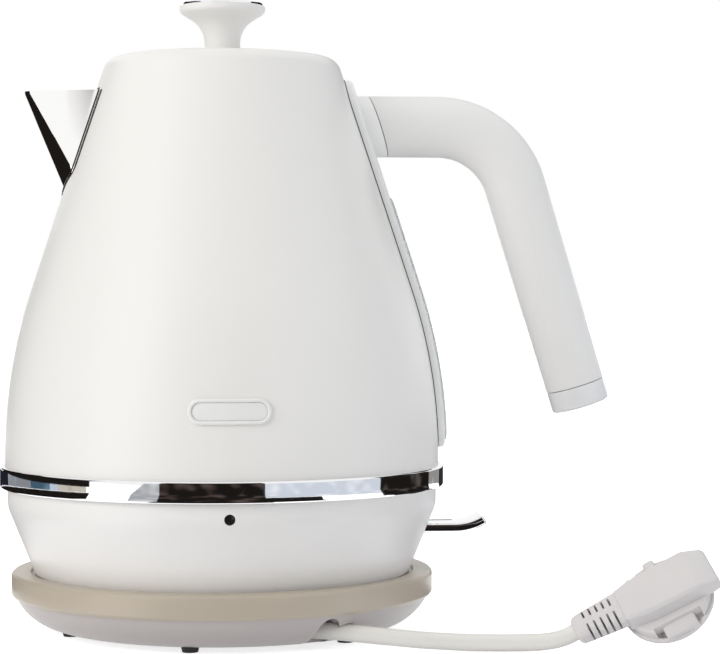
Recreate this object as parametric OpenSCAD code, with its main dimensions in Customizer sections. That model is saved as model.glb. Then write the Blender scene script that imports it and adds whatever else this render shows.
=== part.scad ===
// Cordless electric jug kettle with a V-shaped beak spout, on a round power base.
// Millimetres. The origin is on the table, under the kettle's axis. +Z is up,
// the handle points along +X, the spout along -X and the front faces -Y.

/* [Power base] */
// Height of a rubber foot below the dish
foot_h = 2; // [1:0.5:4]
// Radius of a rubber foot
foot_r = 3.5; // [2.5:0.1:4.5]
// Number of rubber feet
foot_count = 6; // [3:1:8]
// Height of the white dish, from its floor to the top plate's lower edge
dish_h = 12.4; // [11:0.2:16]
// Radius of the curve from the dish's floor up to its rim
dish_curve_r = 21; // [17:0.5:28]
// Wall of the dish
dish_t = 2.2; // [1.6:0.1:3]
// Height of the top plate's outer wall
plate_h = 9.6; // [8:0.2:13]
// Wall of the top plate
plate_t = 2.2; // [1.6:0.1:3]
// Rounding of the top plate's upper edge
plate_edge_r = 1.8; // [0.8:0.1:2.4]
// Width of the top plate's rim outside the well that the kettle stands in
plate_rim_w = 8; // [6:0.2:12]
// Depth of the well
well_d = 1.2; // [0.6:0.1:2]
// Radial room round the kettle's foot in the well
well_room = 1.3; // [0.6:0.1:2.5]
// Radius of the circle that the base screws stand on
base_screw_ring_r = 45; // [36:1:50]

/* [Coupling] */
// Radius of the connector tower
tower_r = 16.6; // [14:0.2:18]
// Height of the tower above the well
tower_h = 13.7; // [12:0.1:16]
// Middle radius of the tower's ring slot
slot_r = 8.7; // [7.5:0.1:10]
// Width of the ring slot
slot_w = 2.2; // [2:0.1:2.8]
// Radius of the tower's earth hole
earth_hole_r = 3.6; // [3.2:0.1:4.4]
// Room between the tower and the kettle's socket
socket_room = 0.5; // [0.4:0.1:1]
// Wall of the kettle's socket
socket_t = 2.6; // [2:0.1:3.4]

/* [Skirt and band] */
// Height of the skirt, from its foot to the bright band
skirt_h = 34.4; // [33:0.2:40]
// Lean of the skirt's side from vertical, in degrees
skirt_lean = 22; // [16:1:24]
// Height of the skirt's upright part under the band
skirt_upright_h = 7.6; // [6:0.2:9]
// How far the skirt stands back from the body's widest radius
skirt_step = 0.9; // [0.5:0.1:2]
// Wall of the skirt
skirt_t = 2; // [1.4:0.1:2.6]
// Height of the bright band
band_h = 8.3; // [6.5:0.1:10]
// Thickness of the bright band
band_t = 2; // [1.4:0.1:3]

/* [Body] */
// Radius of the body at its widest
belly_r = 86.1; // [82:0.1:92]
// Height of the widest place above the band's lower edge
belly_rise = 12.5; // [11:0.5:18]
// Height from the widest place to the shoulder's top
body_h = 157.3; // [150:0.5:165]
// Radius of the curve that leads from the belly into the straight flank
flank_r = 208; // [190:1:225]
// Lean of the straight flank from vertical, in degrees
flank_lean = 18; // [17:0.25:18.5]
// Rounding of the shoulder
shoulder_r = 6.7; // [5.5:0.1:8]
// Thickness of the body's steel
shell_t = 1.2; // [0.8:0.1:1.6]
// Width of the rim between the shoulder's rounding and the mouth
rim_w = 2.3; // [2.2:0.1:4]

/* [Spout] */
// Reach of the spout's tip beyond the body at the spout's top edge
spout_reach = 28; // [22:0.5:32]
// Depth of the spout's top edge below the shoulder's top
spout_drop = 13.8; // [12:0.2:20]
// Height of the spout from the foot of its ridge to its top edge
spout_h = 38.5; // [32:0.5:44]
// Half width of the spout's lower corners
spout_half_w = 14; // [11:0.25:16]
// Rounding of the spout's ridge
ridge_r = 3.2; // [2:0.1:4]
// Thickness of the spout's steel
spout_t = 1; // [0.8:0.1:1.4]

/* [Strip and gauge] */
// Half width of the strip down the back
spine_half_w = 13; // [12.5:0.25:15]
// How far the strip stands proud of the body
spine_proud = 3; // [2.4:0.1:4]
// Depth of the strip's top end below the shoulder's top
spine_drop = 8.3; // [8:0.1:9.5]
// Height of the strip's lower end above the band's lower edge
spine_rise = 14.2; // [12:0.2:20]
// Half width of the gauge window
gauge_half_w = 8.5; // [6:0.25:10]
// How far the window stands proud of the strip
gauge_proud = 0.8; // [0.3:0.1:1.2]
// Height of the gauge window
gauge_h = 98; // [80:1:100]

/* [Handle] */
// Depth of the grip's axis below the shoulder's top
handle_drop = 26.8; // [25.5:0.1:30]
// Distance from the body to the corner of the grip's axis
handle_reach = 56.5; // [50:0.5:66]
// Radius of the grip at its root
grip_r = 12.2; // [11:0.1:12.5]
// Radius of the grip at its lower end
grip_end_r = 11.7; // [10.6:0.1:12.5]
// Radius of the grip's bend, along its axis
bend_r = 33; // [24:0.5:40]
// Lean of the grip's lower part from vertical, in degrees
grip_lean = 17; // [10:0.5:22]
// Length of the grip's lower part, from the corner of the axis to its end
grip_len = 117.4; // [95:0.5:125]
// Radius of the bore inside the grip
grip_bore_r = 9; // [7:0.1:9.6]
// Length of the cap at the grip's end
cap_len = 8.8; // [6:0.1:14]
// Width of the collar between the strip and the grip
collar_w = 4.3; // [3:0.1:6]

/* [Lid and knob] */
// Width of the ledge that the lid's edge drops onto
ledge_w = 2.4; // [2:0.1:3.2]
// Depth of the ledge below the shoulder's top
ledge_d = 3.3; // [2.8:0.1:4]
// Rise of the lid's crown above the shoulder's top
crown_h = 1.4; // [0.6:0.1:2.5]
// Depth of the lid's liner below the ledge
liner_h = 11; // [9:0.5:13]
// Radius of the knob's stem
stem_r = 7.1; // [6:0.1:9]
// Height of the knob's straight stem above the shoulder's top
stem_h = 5.9; // [4:0.1:9]
// Radius of the hollow curve under the knob's head
flare_r = 11; // [8:0.1:13]
// Radius of the knob's head
head_r = 17; // [16:0.1:20]
// Height of the knob's bright cap
knob_cap_h = 2.2; // [1.6:0.1:3]

/* [Switch] */
// Width of the switch lever
lever_w = 18; // [14:0.5:22]
// Thickness of the switch lever
lever_t = 3.6; // [2.8:0.1:4.4]
// How far the lever's tip stands out from the skirt
lever_out = 24.8; // [18:0.2:30]
// Depth of the lever below the band's lower edge
lever_drop = 17.8; // [16:0.2:20]
// Rise of the lever's curled tip
lever_rise = 3.8; // [3:0.2:7]
// Radius of the lever's pivot pin
pin_r = 1.5; // [1:0.05:1.8]
// Travel of the lever, in degrees
lever_travel = 14; // [8:1:16]

/* [Badge and lens] */
// Length of the blank badge
badge_w = 30.7; // [22:0.1:40]
// Height of the blank badge
badge_h = 9.6; // [7:0.1:14]
// Width of the badge's rim
badge_rim_w = 1.5; // [1:0.1:2]
// Height of the badge's middle above the body's widest place
badge_rise = 21; // [15:0.5:40]
// Radius of the indicator lens
lens_r = 2; // [1.5:0.1:3]
// Depth of the lens below the band's lower edge
lens_drop = 5.9; // [5:0.1:8]

/* [Cord and plug] */
// Diameter of the mains cord
cord_d = 6.4; // [5:0.1:6.4]
// Length of the plug's slotted strain relief
relief_len = 19.2; // [17:0.2:22]
// Radius of the plug's round face
plug_face_r = 17.8; // [17.2:0.1:19]
// Distance between the plug's pins
plug_pin_pitch = 19; // [18:0.5:20]
// Diameter of a plug pin
plug_pin_d = 4.8; // [4:0.1:5]
// Length of a plug pin
plug_pin_len = 19; // [17:0.5:19]

/* [Hidden] */
$fn = 96;

// Gap between pieces that are fixed to each other
fit = 0.05;
// Gap between pieces that move past each other
run = 0.3;

// Lap of a straight tube over a bent one, and how much thinner the bent one is
lap = 0.6;
hair = 0.05;

// Heights of the base, from the table up
dish_z = foot_h;
plate_low_z = dish_z + dish_h;
plate_z = plate_low_z + plate_h;
well_z = plate_z - well_d;
plate_under_z = well_z - plate_t;

// Heights of the kettle, standing in the well
skirt_z = well_z + run;
band_z = skirt_z + skirt_h;
belly_z = band_z + belly_rise;
shoulder_z = belly_z + body_h;
spout_z = shoulder_z - spout_drop;
handle_z = shoulder_z - handle_drop;
lever_z = band_z - lever_drop;
lens_z = band_z - lens_drop;
badge_z = belly_z + badge_rise;

// Skirt: upright below the band, then a bend, then a cone down to its foot
skirt_r = belly_r - skirt_step;
knee_z = band_z - skirt_upright_h;
knee_r = 12;
knee_mid_z = knee_z + knee_r * tan(skirt_lean / 2);
function skirt_at(z) = skirt_r - max(0, knee_z - z) * tan(skirt_lean);
skirt_wall_w = skirt_t / cos(skirt_lean);
skirt_foot_r = skirt_at(skirt_z);
skirt_edge = 0.6;
shelf_t = 2;
spigot_h = 4.5;
spigot_t = 2;

// Base radii, worked out from the kettle's foot
well_r = skirt_foot_r + well_room;
base_r = well_r + plate_rim_w;
plate_low_edge = 1.2;
dish_step = 0.4;
dish_rim_r = base_r - plate_low_edge - dish_step;
dish_floor_r = dish_rim_r - sqrt(pow(dish_curve_r, 2) - pow(dish_curve_r - dish_h, 2));
foot_inset = 0.5;
foot_ring_r = dish_floor_r - foot_inset;
foot_taper = 0.5;
foot_turn = -103;
foot_stem_r = 0.55 * foot_r;
lip_t = 1.8;
lip_h = 3;
lip_root = 1;

// Base screws
base_screw_count = 3;
base_screw_turn = 0;
base_post_r = 4;
base_screw_r = 1.5;
base_head_r = 3;
base_head_h = 2;
base_head_room = 0.2;
base_post_drop = 2;
base_head_sink = 1;
base_screw_bite = 6;
base_screw_end_room = 0.5;
base_post_z = plate_low_z - base_post_drop;
base_head_z = dish_z + base_head_sink;
base_screw_len = base_post_z - base_head_z - base_head_h + base_screw_bite;

// Coupling: tower on the base, socket in the kettle
tower_z = well_z + tower_h;
tower_flange_w = 5.4;
tower_flange_t = 2.2;
tower_step = 1.6;
tower_body_r = tower_r - tower_step;
tower_body_z = 9;
tower_post_t = 2;
slot_floor_up = 1.2;
slot_floor_z = well_z + slot_floor_up;
earth_floor_down = 0.8;
earth_floor_z = well_z - earth_floor_down;
contact_h = 1.4;
contact_t = 0.8;
earth_tube_h = 9;
shutter_z = slot_floor_z + contact_h + run;
shutter_h = 3;
ring_contact_w = 1;
earth_pin_room = 0.4;
earth_pin_up = 5;
earth_pin_r = earth_hole_r - contact_t - fit - earth_pin_room;
socket_in_r = tower_r + socket_room;
socket_out_r = socket_in_r + socket_t;
socket_roof_room = 0.7;
socket_roof_z = tower_z + socket_roof_room;
socket_top_z = socket_roof_z + socket_t;
socket_flange_w = 5;

// Bottom cover and its screws
cover_gap = 0.3;
cover_t = 2;
cover_z = skirt_z + cover_gap;
cover_top_z = cover_z + cover_t;
cover_r = skirt_at(cover_z) - skirt_wall_w - fit;
skirt_post_r = 4;
skirt_post_inset = 12;
skirt_post_ring_r = cover_r - skirt_post_inset;
skirt_post_h = 12;
skirt_screw_count = 3;
skirt_post_turn = 60;
skirt_screw_r = 1.5;
skirt_head_r = 2.8;
skirt_head_h = 1.2;
skirt_head_room = 0.1;
skirt_screw_end_room = 0.5;
skirt_screw_len = 9;
rib_t = 2.4;

// Band: an L-shaped ring that carries the body on its inner flange
band_in_r = belly_r + fit;
band_r = band_in_r + band_t;
band_flange_t = 1.7;
band_flange_w = 1.9;
band_hole_r = belly_r - shell_t - band_flange_w;
band_edge = 0.7;
shell_z = band_z + band_flange_t;

// Body outline: an upright foot, a curved flank, a straight cone and a rounded shoulder
flank_end_r = belly_r - flank_r * (1 - cos(flank_lean));
flank_end_z = belly_z + flank_r * sin(flank_lean);
shoulder_mid_z = shoulder_z - shoulder_r;
cone_len = (shoulder_mid_z - flank_end_z + shoulder_r * sin(flank_lean)) / cos(flank_lean);
shoulder_mid_r = flank_end_r - shoulder_r * cos(flank_lean) - cone_len * sin(flank_lean);
function body_at(z) =
    z < belly_z ? belly_r :
    z < flank_end_z ? belly_r - flank_r + sqrt(pow(flank_r, 2) - pow(z - belly_z, 2)) :
    flank_end_r - (z - flank_end_z) * tan(flank_lean);

// Mouth: a lip, a ledge for the lid's edge and a throat for its seal
lip_r = 1;
mouth_r = shoulder_mid_r - rim_w;
ledge_z = shoulder_z - ledge_d;
throat_r = mouth_r - ledge_w;
throat_h = 6.5;

// Spout: a tip and a ridge, two lower corners, and a back inside the body
spout_tip_x = body_at(spout_z) + spout_reach;
spout_foot_z = spout_z - spout_h;
spout_foot_x = body_at(spout_foot_z);
ridge_lean = atan((spout_tip_x - spout_foot_x) / spout_h);
corner_r = 7;
corner_up = 9;
corner_sink = 3.6;
corner_x = body_at(spout_foot_z + corner_up) - corner_sink;
spout_back_in = 10;
spout_back_x = body_at(spout_z) - spout_back_in;
spout_splay = 1.3;
spout_back_half_w = spout_half_w + spout_splay;
spout_back_r = 1.2;

// Filter behind the spout
filter_w = 32;
filter_h = 36;
filter_t = 2;
filter_border = 3;
filter_mesh_t = 0.4;
filter_drop = 1;
filter_z = spout_z - filter_drop;
filter_in_r = body_at(filter_z) - shell_t / cos(flank_lean);
filter_x = sqrt(pow(filter_in_r, 2) - pow(filter_w / 2, 2)) - run;

// Strip, window and the slot in the body behind the window
spine_low_z = band_z + spine_rise;
spine_top_z = shoulder_z - spine_drop;
gauge_rise = 2.5;
gauge_low_z = spine_low_z + gauge_rise;
gauge_slot_half_w = 3;
gauge_slot_end = 8;

// Handle: bracket on the body, collar, bent grip and end cap
bracket_half_w = 8;
bracket_t = 1.2;
bracket_up = 13;
tongue_r = grip_bore_r - fit;
handle_x = body_at(handle_z) + handle_reach;
turn = 90 - grip_lean;
bend_run = bend_r * tan(turn / 2);
bend_x = handle_x - bend_run;
bend_z = handle_z - bend_r;
lower_len = grip_len - bend_run;
grip_lower_len = lower_len - cap_len;
seam_r = grip_r + (grip_end_r - grip_r) * grip_lower_len / lower_len;
cap_edge_r = 1.4;
cap_spigot_len = 7;
seat_off = spine_proud + collar_w;
tongue_stop = 2;
tongue_end_x = bend_x - tongue_stop;

// Lid, from the ledge up and down
lid_r = mouth_r - run;
lid_edge_r = 1;
lid_crown_z = shoulder_z + crown_h;
liner_room = 0.9;
liner_r = throat_r - liner_room;
liner_t = 1.6;
liner_z = ledge_z - liner_h;
seal_groove_d = 1;
seal_h = 3;
seal_drop = 5;
seal_z = ledge_z - seal_drop;
screw_r = 2;
screw_head_r = 4;
screw_head_h = 2;
screw_boss_r = 6;
screw_grip = 11;
screw_end_room = 0.5;

// Knob
knob_z = lid_crown_z;
flare_z = shoulder_z + stem_h;
flare_angle = 57;
head_edge_r = 2;
head_cone_w = head_r - stem_r - (head_edge_r + flare_r) * (1 - cos(flare_angle));
head_low_z = flare_z + (flare_r + head_edge_r) * sin(flare_angle) + head_cone_w / tan(flare_angle);
head_h = 1.4;
knob_cap_seat = 1.2;
head_wall = 0.9;
head_bevel = 0.4;
knob_cap_r = head_r - head_wall;
knob_top_z = head_low_z + head_h;
cap_spigot_r = 5;
cap_spigot_h = 3;
knob_cap_dome = 0.8;
knob_base_w = 1.2;

// Heating: floor, diffuser, element and control unit
floor_t = 1.6;
floor_z = band_z + spigot_h;
floor_r = belly_r - shell_t - fit;
bead = 2.4;
diffuser_r = 66;
diffuser_t = 4.5;
diffuser_z = floor_z - diffuser_t;
element_ring_r = 46;
element_r = 4.2;
element_sink = 0.6;
element_gap = 50;
element_turn = 180;
tail_in = 3;
tail_r = 2;
tail_len = 11;
controller_z = socket_top_z;
sensor_h = 4.5;
controller_top_z = diffuser_z - sensor_h;
controller_r = 24;
controller_flange_w = 7;
controller_flange_t = 2;
sensor_r = 6;
sensor_x = 12;
stud_ring_r = 27.4;
stud_r = 1.5;
stud_head_r = 2.8;
stud_head_h = 2;
stud_bite = 3;
stud_count = 3;
stud_turn = 90;

// Steam tube, from under the mouth down through the vessel's floor
steam_r = 4.5;
steam_t = 1;
steam_in = 10.9;
steam_tail = 10;
steam_rise = 10;
steam_up = 3.5;
steam_room = 2.2;
steam_x = belly_r - shell_t - steam_in;
steam_low_z = floor_z - steam_tail;
steam_bend_z = floor_z + steam_rise;
steam_top_z = handle_z + steam_up;
steam_top_x = body_at(steam_top_z) - shell_t - steam_r - steam_room;
steam_lean = atan((steam_x - steam_top_x) / (steam_top_z - steam_bend_z));
steam_bend_r = 14;
steam_run = (steam_top_z - steam_bend_z - steam_bend_r * sin(steam_lean)) / cos(steam_lean);

// Switch: pivot, lever outline and the opening in the skirt
pivot_in = 10;
pivot_x = skirt_at(lever_z) - pivot_in;
lever_tip_x = skirt_at(lever_z) + lever_out;
hub_t = 2;
lever_hub_r = pin_r + hub_t;
lever_tail = 10;
curl_len = 12;
curl_r = (pow(curl_len, 2) + pow(lever_rise, 2)) / (2 * lever_rise);
curl_angle = asin(curl_len / curl_r);
ear_t = 3;
ear_half = 6;
lever_side_room = 0.4;
slot_room = 0.8;
slot_dip = (skirt_at(lever_z) + skirt_wall_w - pivot_x) * sin(lever_travel);
arm_w = 5;
arm_h = 4;
arm_reach = 25;
arm_off = 1;

// Badge and lens
badge_plate_proud = 0.7;
badge_rim_proud = 1.3;
lens_in = 2;
lens_sink = 0.2;
lamp_r = 2.5;
lamp_len = 6;

// Cord: hand-chosen points of its middle line, from the clamp to the plug
CORD_ROUTE = [
    [16, -54, 7.6], [22, -56.8, 7.6], [28, -59.4, 7.6], [35, -62.2, 7.5],
    [42, -64.6, 7.2], [49, -66.4, 6.7], [56, -67.6, 6], [63, -68.4, 5.3],
    [70, -68.8, 4.6], [77, -69.1, 4.1], [84, -69.3, 3.7], [91, -69.7, 3.4],
    [98, -70.3, 3.3], [105, -71.1, 3.3], [111.6, -72.2, 3.5], [116.8, -73.2, 3.8],
    [121.2, -74.1, 4.5], [125.2, -74.8, 5.7], [128.8, -75.3, 7.5]
];
cord_sides = 12;
cord_turn = -25;
clamp_len = 14;
clamp_w = 14;
clamp_over = 2.4;
notch_turn = -59;
notch_w = 12;
notch_in = 2.6;
notch_top_wall = 0.6;
notch_in_r = dish_floor_r - notch_in;
notch_z = plate_low_z - notch_w / 2 - notch_top_wall;
way_d = cord_d + 3;
way_up = 0.4;

// The cord, its clamp and the plug move outwards with the base's edge
route_base_r = 83.7;
cord_shift = (base_r - route_base_r) * [cos(notch_turn), sin(notch_turn), 0];
CORD = [for (p = CORD_ROUTE) p + cord_shift];

// Leads inside the base: hand-chosen points of the middle one
LEAD_ROUTE = [
    [3.2, -48, 8], [-0.4, -46.3, 8], [-3.6, -43, 8.4], [-4.6, -37, 9.4],
    [-3.6, -30, 11], [-1.6, -22, 12.4], [0, -15.1, 13]
];
lead_last = len(LEAD_ROUTE) - 1;
LEADS = [for (i = [0:lead_last]) LEAD_ROUTE[i] + cord_shift * (1 - i / lead_last)];
lead_r = 1.1;
lead_pitch = 2.6;
lead_sides = 8;

// Plug, in its own frame: the cord's axis is +X, its flat back faces +Z
plug_place = CORD[len(CORD) - 1];
plug_tilt = [46, -28, -8];
plug_back_z = 2.7;
plug_half_w = 8.3;
plug_wide_half_w = 9.2;
plug_back_end_x = relief_len + 29.5;
plug_end_x = relief_len + 37.2;
plug_end_z = -1.2;
plug_face_z = -10.6;
plug_mid_x = relief_len + 16.7;
plug_insert_r = plug_face_r - 1;
plug_insert_h = 6.4;
plug_flange_t = 2;
plug_under_z = -6.5;
plug_skin = 1;
pin_root = 4;
pin_root_d = plug_pin_d - 1;
pin_tip = 1.2;
pin_tip_d = plug_pin_d - 1.6;
guide_len = 13;
guide_depth = 5;
guide_room = 3;
guide_inset = 0.7;
guide_top_z = -6;
key_len = 4.6;
key_inset = 0.2;
key_top_z = -1.5;
relief_end_half_w = 5.2;
relief_end_half_h = 4;
relief_low_z = -4;
relief_round = 2;
relief_slot_w = 1.1;
relief_slot_pitch = 2.7;
relief_slot_count = 5;
relief_slot_from = 0.6;
relief_rib = 3;
clip_w = 4;
clip_t = 0.6;
clip_h = 3.4;
clip_inset = 1.4;

// Points on an arc round c, from angle a0 to a1
function arc(c, r, a0, a1, n) = [
    for (i = [0:n])
        let (a = a0 + (a1 - a0) * i / n)
        [c[0] + r * cos(a), c[1] + r * sin(a)]
];

// The body's outline moved outwards by d, from the belly up to the shoulder's top
function flank(d) = concat(
    arc([belly_r - flank_r, belly_z], flank_r + d, 0, flank_lean, 16),
    arc([shoulder_mid_r, shoulder_mid_z], shoulder_r + d, flank_lean, 90, 8)
);

// Points of b from last to first
function back(b) = [for (i = [len(b) - 1:-1:0]) b[i]];

// Body as a solid of revolution, moved outwards by d
module body_solid(d) {
    rotate_extrude()
        polygon(concat([[0, band_z], [belly_r + d, band_z]], flank(d), [[0, shoulder_z + d]]));
}

// Ring between two radii
module ring(r_in, r_out, h) {
    difference() {
        cylinder(r = r_out, h = h);
        translate([0, 0, -1]) cylinder(r = r_in, h = h + 2);
    }
}

// Bent tube, a hair thinner than the straight tubes that lap over its ends
module elbow(bend, r_in, r_out, angle) {
    rotate_extrude(angle = angle) translate([bend, 0]) difference() {
        circle(r = r_out - hair);
        circle(r = r_in + hair);
    }
}

// Copies on a circle round the axis
module around(count, r, turn) {
    for (i = [0:count - 1])
        rotate([0, 0, turn + 360 * i / count]) translate([r, 0, 0]) children();
}

// Outline with round ends, half as wide as w, between two heights
module stadium(w, low, high) {
    translate([0, low + w]) circle(r = w);
    translate([0, high - w]) circle(r = w);
    translate([-w, low + w]) square([2 * w, high - low - 2 * w]);
}

// A stadium standing in the YZ plane, pushed out along +X
module back_block(w, low, high) {
    translate([belly_r / 3, 0, 0]) rotate([90, 0, 90])
        linear_extrude(belly_r) stadium(w, low, high);
}

// A pill lying in the XZ plane, pushed out along -Y
module front_block(w, h) {
    translate([0, -belly_r / 2, badge_z]) rotate([90, 0, 0]) linear_extrude(belly_r) {
        translate([h / 2 - w / 2, 0]) circle(r = h / 2);
        translate([w / 2 - h / 2, 0]) circle(r = h / 2);
        translate([h / 2 - w / 2, -h / 2]) square([w - h, h]);
    }
}

// Tube along a list of points
function unit(v) = v / norm(v);
function along(p, i) = unit(p[min(i + 1, len(p) - 1)] - p[max(i - 1, 0)]);
function tube_ring(c, d, r, n) =
    let (u = unit(cross(d, [0, 0, 1])), v = cross(u, d))
    [for (k = [0:n - 1]) c + r * (cos(360 * k / n) * u + sin(360 * k / n) * v)];
module tube(p, r, n) {
    last = (len(p) - 1) * n;
    rings = [for (i = [0:len(p) - 1]) each tube_ring(p[i], along(p, i), r, n)];
    sides = [
        for (i = [0:len(p) - 2])
            for (k = [0:n - 1])
                let (a = i * n + k, b = i * n + (k + 1) % n)
                each [[a, a + n, b], [b, a + n, b + n]]
    ];
    ends = [[for (k = [0:n - 1]) k], [for (k = [n - 1:-1:0]) last + k]];
    polyhedron(rings, concat(sides, ends));
}

// Power base
module base_feet() {
    color("#1d1c1b")
        around(foot_count, foot_ring_r, foot_turn) {
            cylinder(r1 = foot_r - foot_taper, r2 = foot_r, h = foot_h);
            translate([0, 0, foot_h]) cylinder(r = foot_stem_r, h = dish_t);
        }
}

// Half section of the dish, moved inwards by d
module dish_section(d) {
    translate([0, dish_z + d]) square([dish_floor_r, dish_h - d]);
    intersection() {
        translate([dish_floor_r, dish_z + dish_curve_r]) circle(r = dish_curve_r - d, $fn = 240);
        translate([dish_floor_r - 1, dish_z]) square([dish_curve_r, dish_h]);
    }
}

// Arched way for the cord through the dish's wall, open to the table
module cord_notch() {
    rotate([0, 0, notch_turn]) translate([notch_in_r, 0, 0]) {
        translate([0, 0, notch_z]) rotate([0, 90, 0]) cylinder(d = notch_w, h = base_r);
        translate([0, -notch_w / 2, -1]) cube([base_r, notch_w, notch_z + 1]);
    }
    translate(CORD[1]) rotate([0, 0, cord_turn]) translate([0, 0, way_up]) rotate([0, 90, 0])
        cylinder(d = way_d, h = base_r);
}

module base_dish() {
    lip_out = base_r - plate_t - fit;
    color("#eeebe4")
        difference() {
            union() {
                rotate_extrude() difference() {
                    dish_section(0);
                    dish_section(dish_t);
                }
                translate([0, 0, plate_low_z - lip_root])
                    ring(lip_out - lip_t, lip_out, lip_root + lip_h);
                around(base_screw_count, base_screw_ring_r, base_screw_turn)
                    translate([0, 0, dish_z]) cylinder(r = base_post_r, h = base_post_z - dish_z);
                translate([0, 0, dish_z])
                    ring(tower_body_r - tower_post_t, tower_body_r, tower_body_z - dish_z);
            }
            around(base_screw_count, base_screw_ring_r, base_screw_turn) {
                cylinder(r = base_screw_r + fit, h = plate_z);
                cylinder(r = base_head_r + base_head_room, h = base_head_z + base_head_h);
            }
            around(foot_count, foot_ring_r, foot_turn) cylinder(r = foot_stem_r + fit, h = dish_z + dish_t + 1);
            cord_notch();
        }
}

module base_top_plate() {
    outer = concat(
        [[base_r - plate_low_edge, plate_low_z], [base_r, plate_low_z + plate_low_edge]],
        arc([base_r - plate_edge_r, plate_z - plate_edge_r], plate_edge_r, 0, 90, 6)
    );
    well_edge = 0.5;
    well = [[well_r + well_edge, plate_z], [well_r, plate_z - well_edge], [well_r, well_z], [tower_r + fit, well_z]];
    under = [
        [tower_r + fit, plate_under_z], [base_r - plate_t, plate_under_z], [base_r - plate_t, plate_low_z]
    ];
    color("#b3a999")
        difference() {
            union() {
                rotate_extrude() polygon(concat(outer, well, under));
                around(base_screw_count, base_screw_ring_r, base_screw_turn)
                    translate([0, 0, base_post_z])
                        cylinder(r = base_post_r, h = plate_under_z + plate_t / 2 - base_post_z);
            }
            around(base_screw_count, base_screw_ring_r, base_screw_turn)
                translate([0, 0, base_head_z])
                    cylinder(r = base_screw_r + fit, h = base_head_h + base_screw_len + base_screw_end_room);
        }
}

module base_screws() {
    color("#9a9a98")
        around(base_screw_count, base_screw_ring_r, base_screw_turn) translate([0, 0, base_head_z]) {
            cylinder(r = base_head_r, h = base_head_h);
            translate([0, 0, base_head_h]) cylinder(r = base_screw_r, h = base_screw_len);
        }
}

module base_connector() {
    flange_z = plate_under_z - tower_flange_t;
    color("#2b2a29")
        difference() {
            union() {
                translate([0, 0, tower_body_z]) cylinder(r = tower_body_r, h = flange_z - tower_body_z);
                translate([0, 0, flange_z]) cylinder(r = tower_r + tower_flange_w, h = tower_flange_t);
                translate([0, 0, plate_under_z]) cylinder(r = tower_r, h = tower_z - plate_under_z);
            }
            translate([0, 0, slot_floor_z]) ring(slot_r - slot_w / 2, slot_r + slot_w / 2, tower_h);
            translate([0, 0, earth_floor_z]) cylinder(r = earth_hole_r, h = tower_h + well_d);
        }
}

module base_contacts() {
    color("#b98a4e") {
        translate([0, 0, slot_floor_z])
            ring(slot_r - slot_w / 2 + fit, slot_r + slot_w / 2 - fit, contact_h);
        translate([0, 0, earth_floor_z])
            ring(earth_hole_r - contact_t - fit, earth_hole_r - fit, earth_tube_h);
    }
}

module connector_shutter() {
    color("#d9d5cc")
        translate([0, 0, shutter_z])
            ring(slot_r - slot_w / 2 + run, slot_r + slot_w / 2 - run, shutter_h);
}

module cord_clamp() {
    floor_top = dish_z + dish_t;
    color("#d8d4cb")
        translate([CORD[0][0], CORD[0][1], 0]) rotate([0, 0, cord_turn])
            translate([-clamp_len, -clamp_w / 2, floor_top])
                cube([clamp_len, clamp_w, CORD[0][2] + cord_d / 2 + clamp_over - floor_top]);
}

module base_leads() {
    for (i = [-1:1])
        color(i < 0 ? "#7a4a2c" : i > 0 ? "#3b62a0" : "#6f9a3a")
            tube([for (p = LEADS) p + [0, 0, i * lead_pitch]], lead_r, lead_sides);
}

module mains_cord() {
    color("#e9e5dd") tube(CORD, cord_d / 2, cord_sides);
}

// Plug
module in_plug() {
    translate(plug_place) rotate(plug_tilt) children();
}

module plug_relief() {
    end_y = relief_end_half_w - relief_round;
    end_z = relief_end_half_h - relief_round;
    color("#ebe7df")
        in_plug() difference() {
            hull() {
                for (side = [-1, 1])
                    for (face = [-1, 1])
                        translate([relief_round, side * end_y, face * end_z])
                            rotate([0, 90, 0]) sphere(r = relief_round, $fn = 24);
                translate([relief_len - plug_skin, -plug_half_w, relief_low_z])
                    cube([plug_skin, 2 * plug_half_w, plug_back_z - relief_low_z]);
            }
            for (i = [1:relief_slot_count])
                for (side = [0, 1])
                    mirror([0, side, 0])
                        translate([relief_len - i * relief_slot_pitch - relief_slot_from, relief_rib / 2, 0])
                            cube([relief_slot_w, plug_half_w, plug_face_r]);
        }
}

// Slice of the plug's grip at x, as wide as w to each side, up to z
module grip_slice(x, w, z) {
    translate([x, -w, plug_under_z]) cube([plug_skin, 2 * w, z - plug_under_z]);
}

// The plug's face: the middle of its round flange, pins down -Z
module in_face() {
    in_plug() translate([plug_mid_x, 0, plug_face_z]) children();
}

// Round face with a flange, an insert cut away at two sides, guide blocks and one key
module plug_face() {
    guide_y = plug_face_r - guide_inset;
    cylinder(r = plug_face_r, h = plug_flange_t);
    difference() {
        cylinder(r = plug_insert_r, h = plug_insert_h);
        for (side = [0, 1])
            mirror([0, side, 0])
                translate([-guide_len / 2 - guide_room, plug_insert_r - guide_depth, plug_flange_t])
                    cube([guide_len + 2 * guide_room, plug_face_r, plug_insert_h]);
    }
    translate([-guide_len / 2, -guide_y, 0])
        cube([guide_len, 2 * guide_y, guide_top_z - plug_face_z]);
    translate([-key_len / 2, 0, 0])
        cube([key_len, plug_face_r - key_inset, key_top_z - plug_face_z]);
}

// Places of the two pins on the face
module at_pins() {
    for (side = [-1, 1])
        translate([side * plug_pin_pitch / 2, 0, 0]) children();
}

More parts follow.
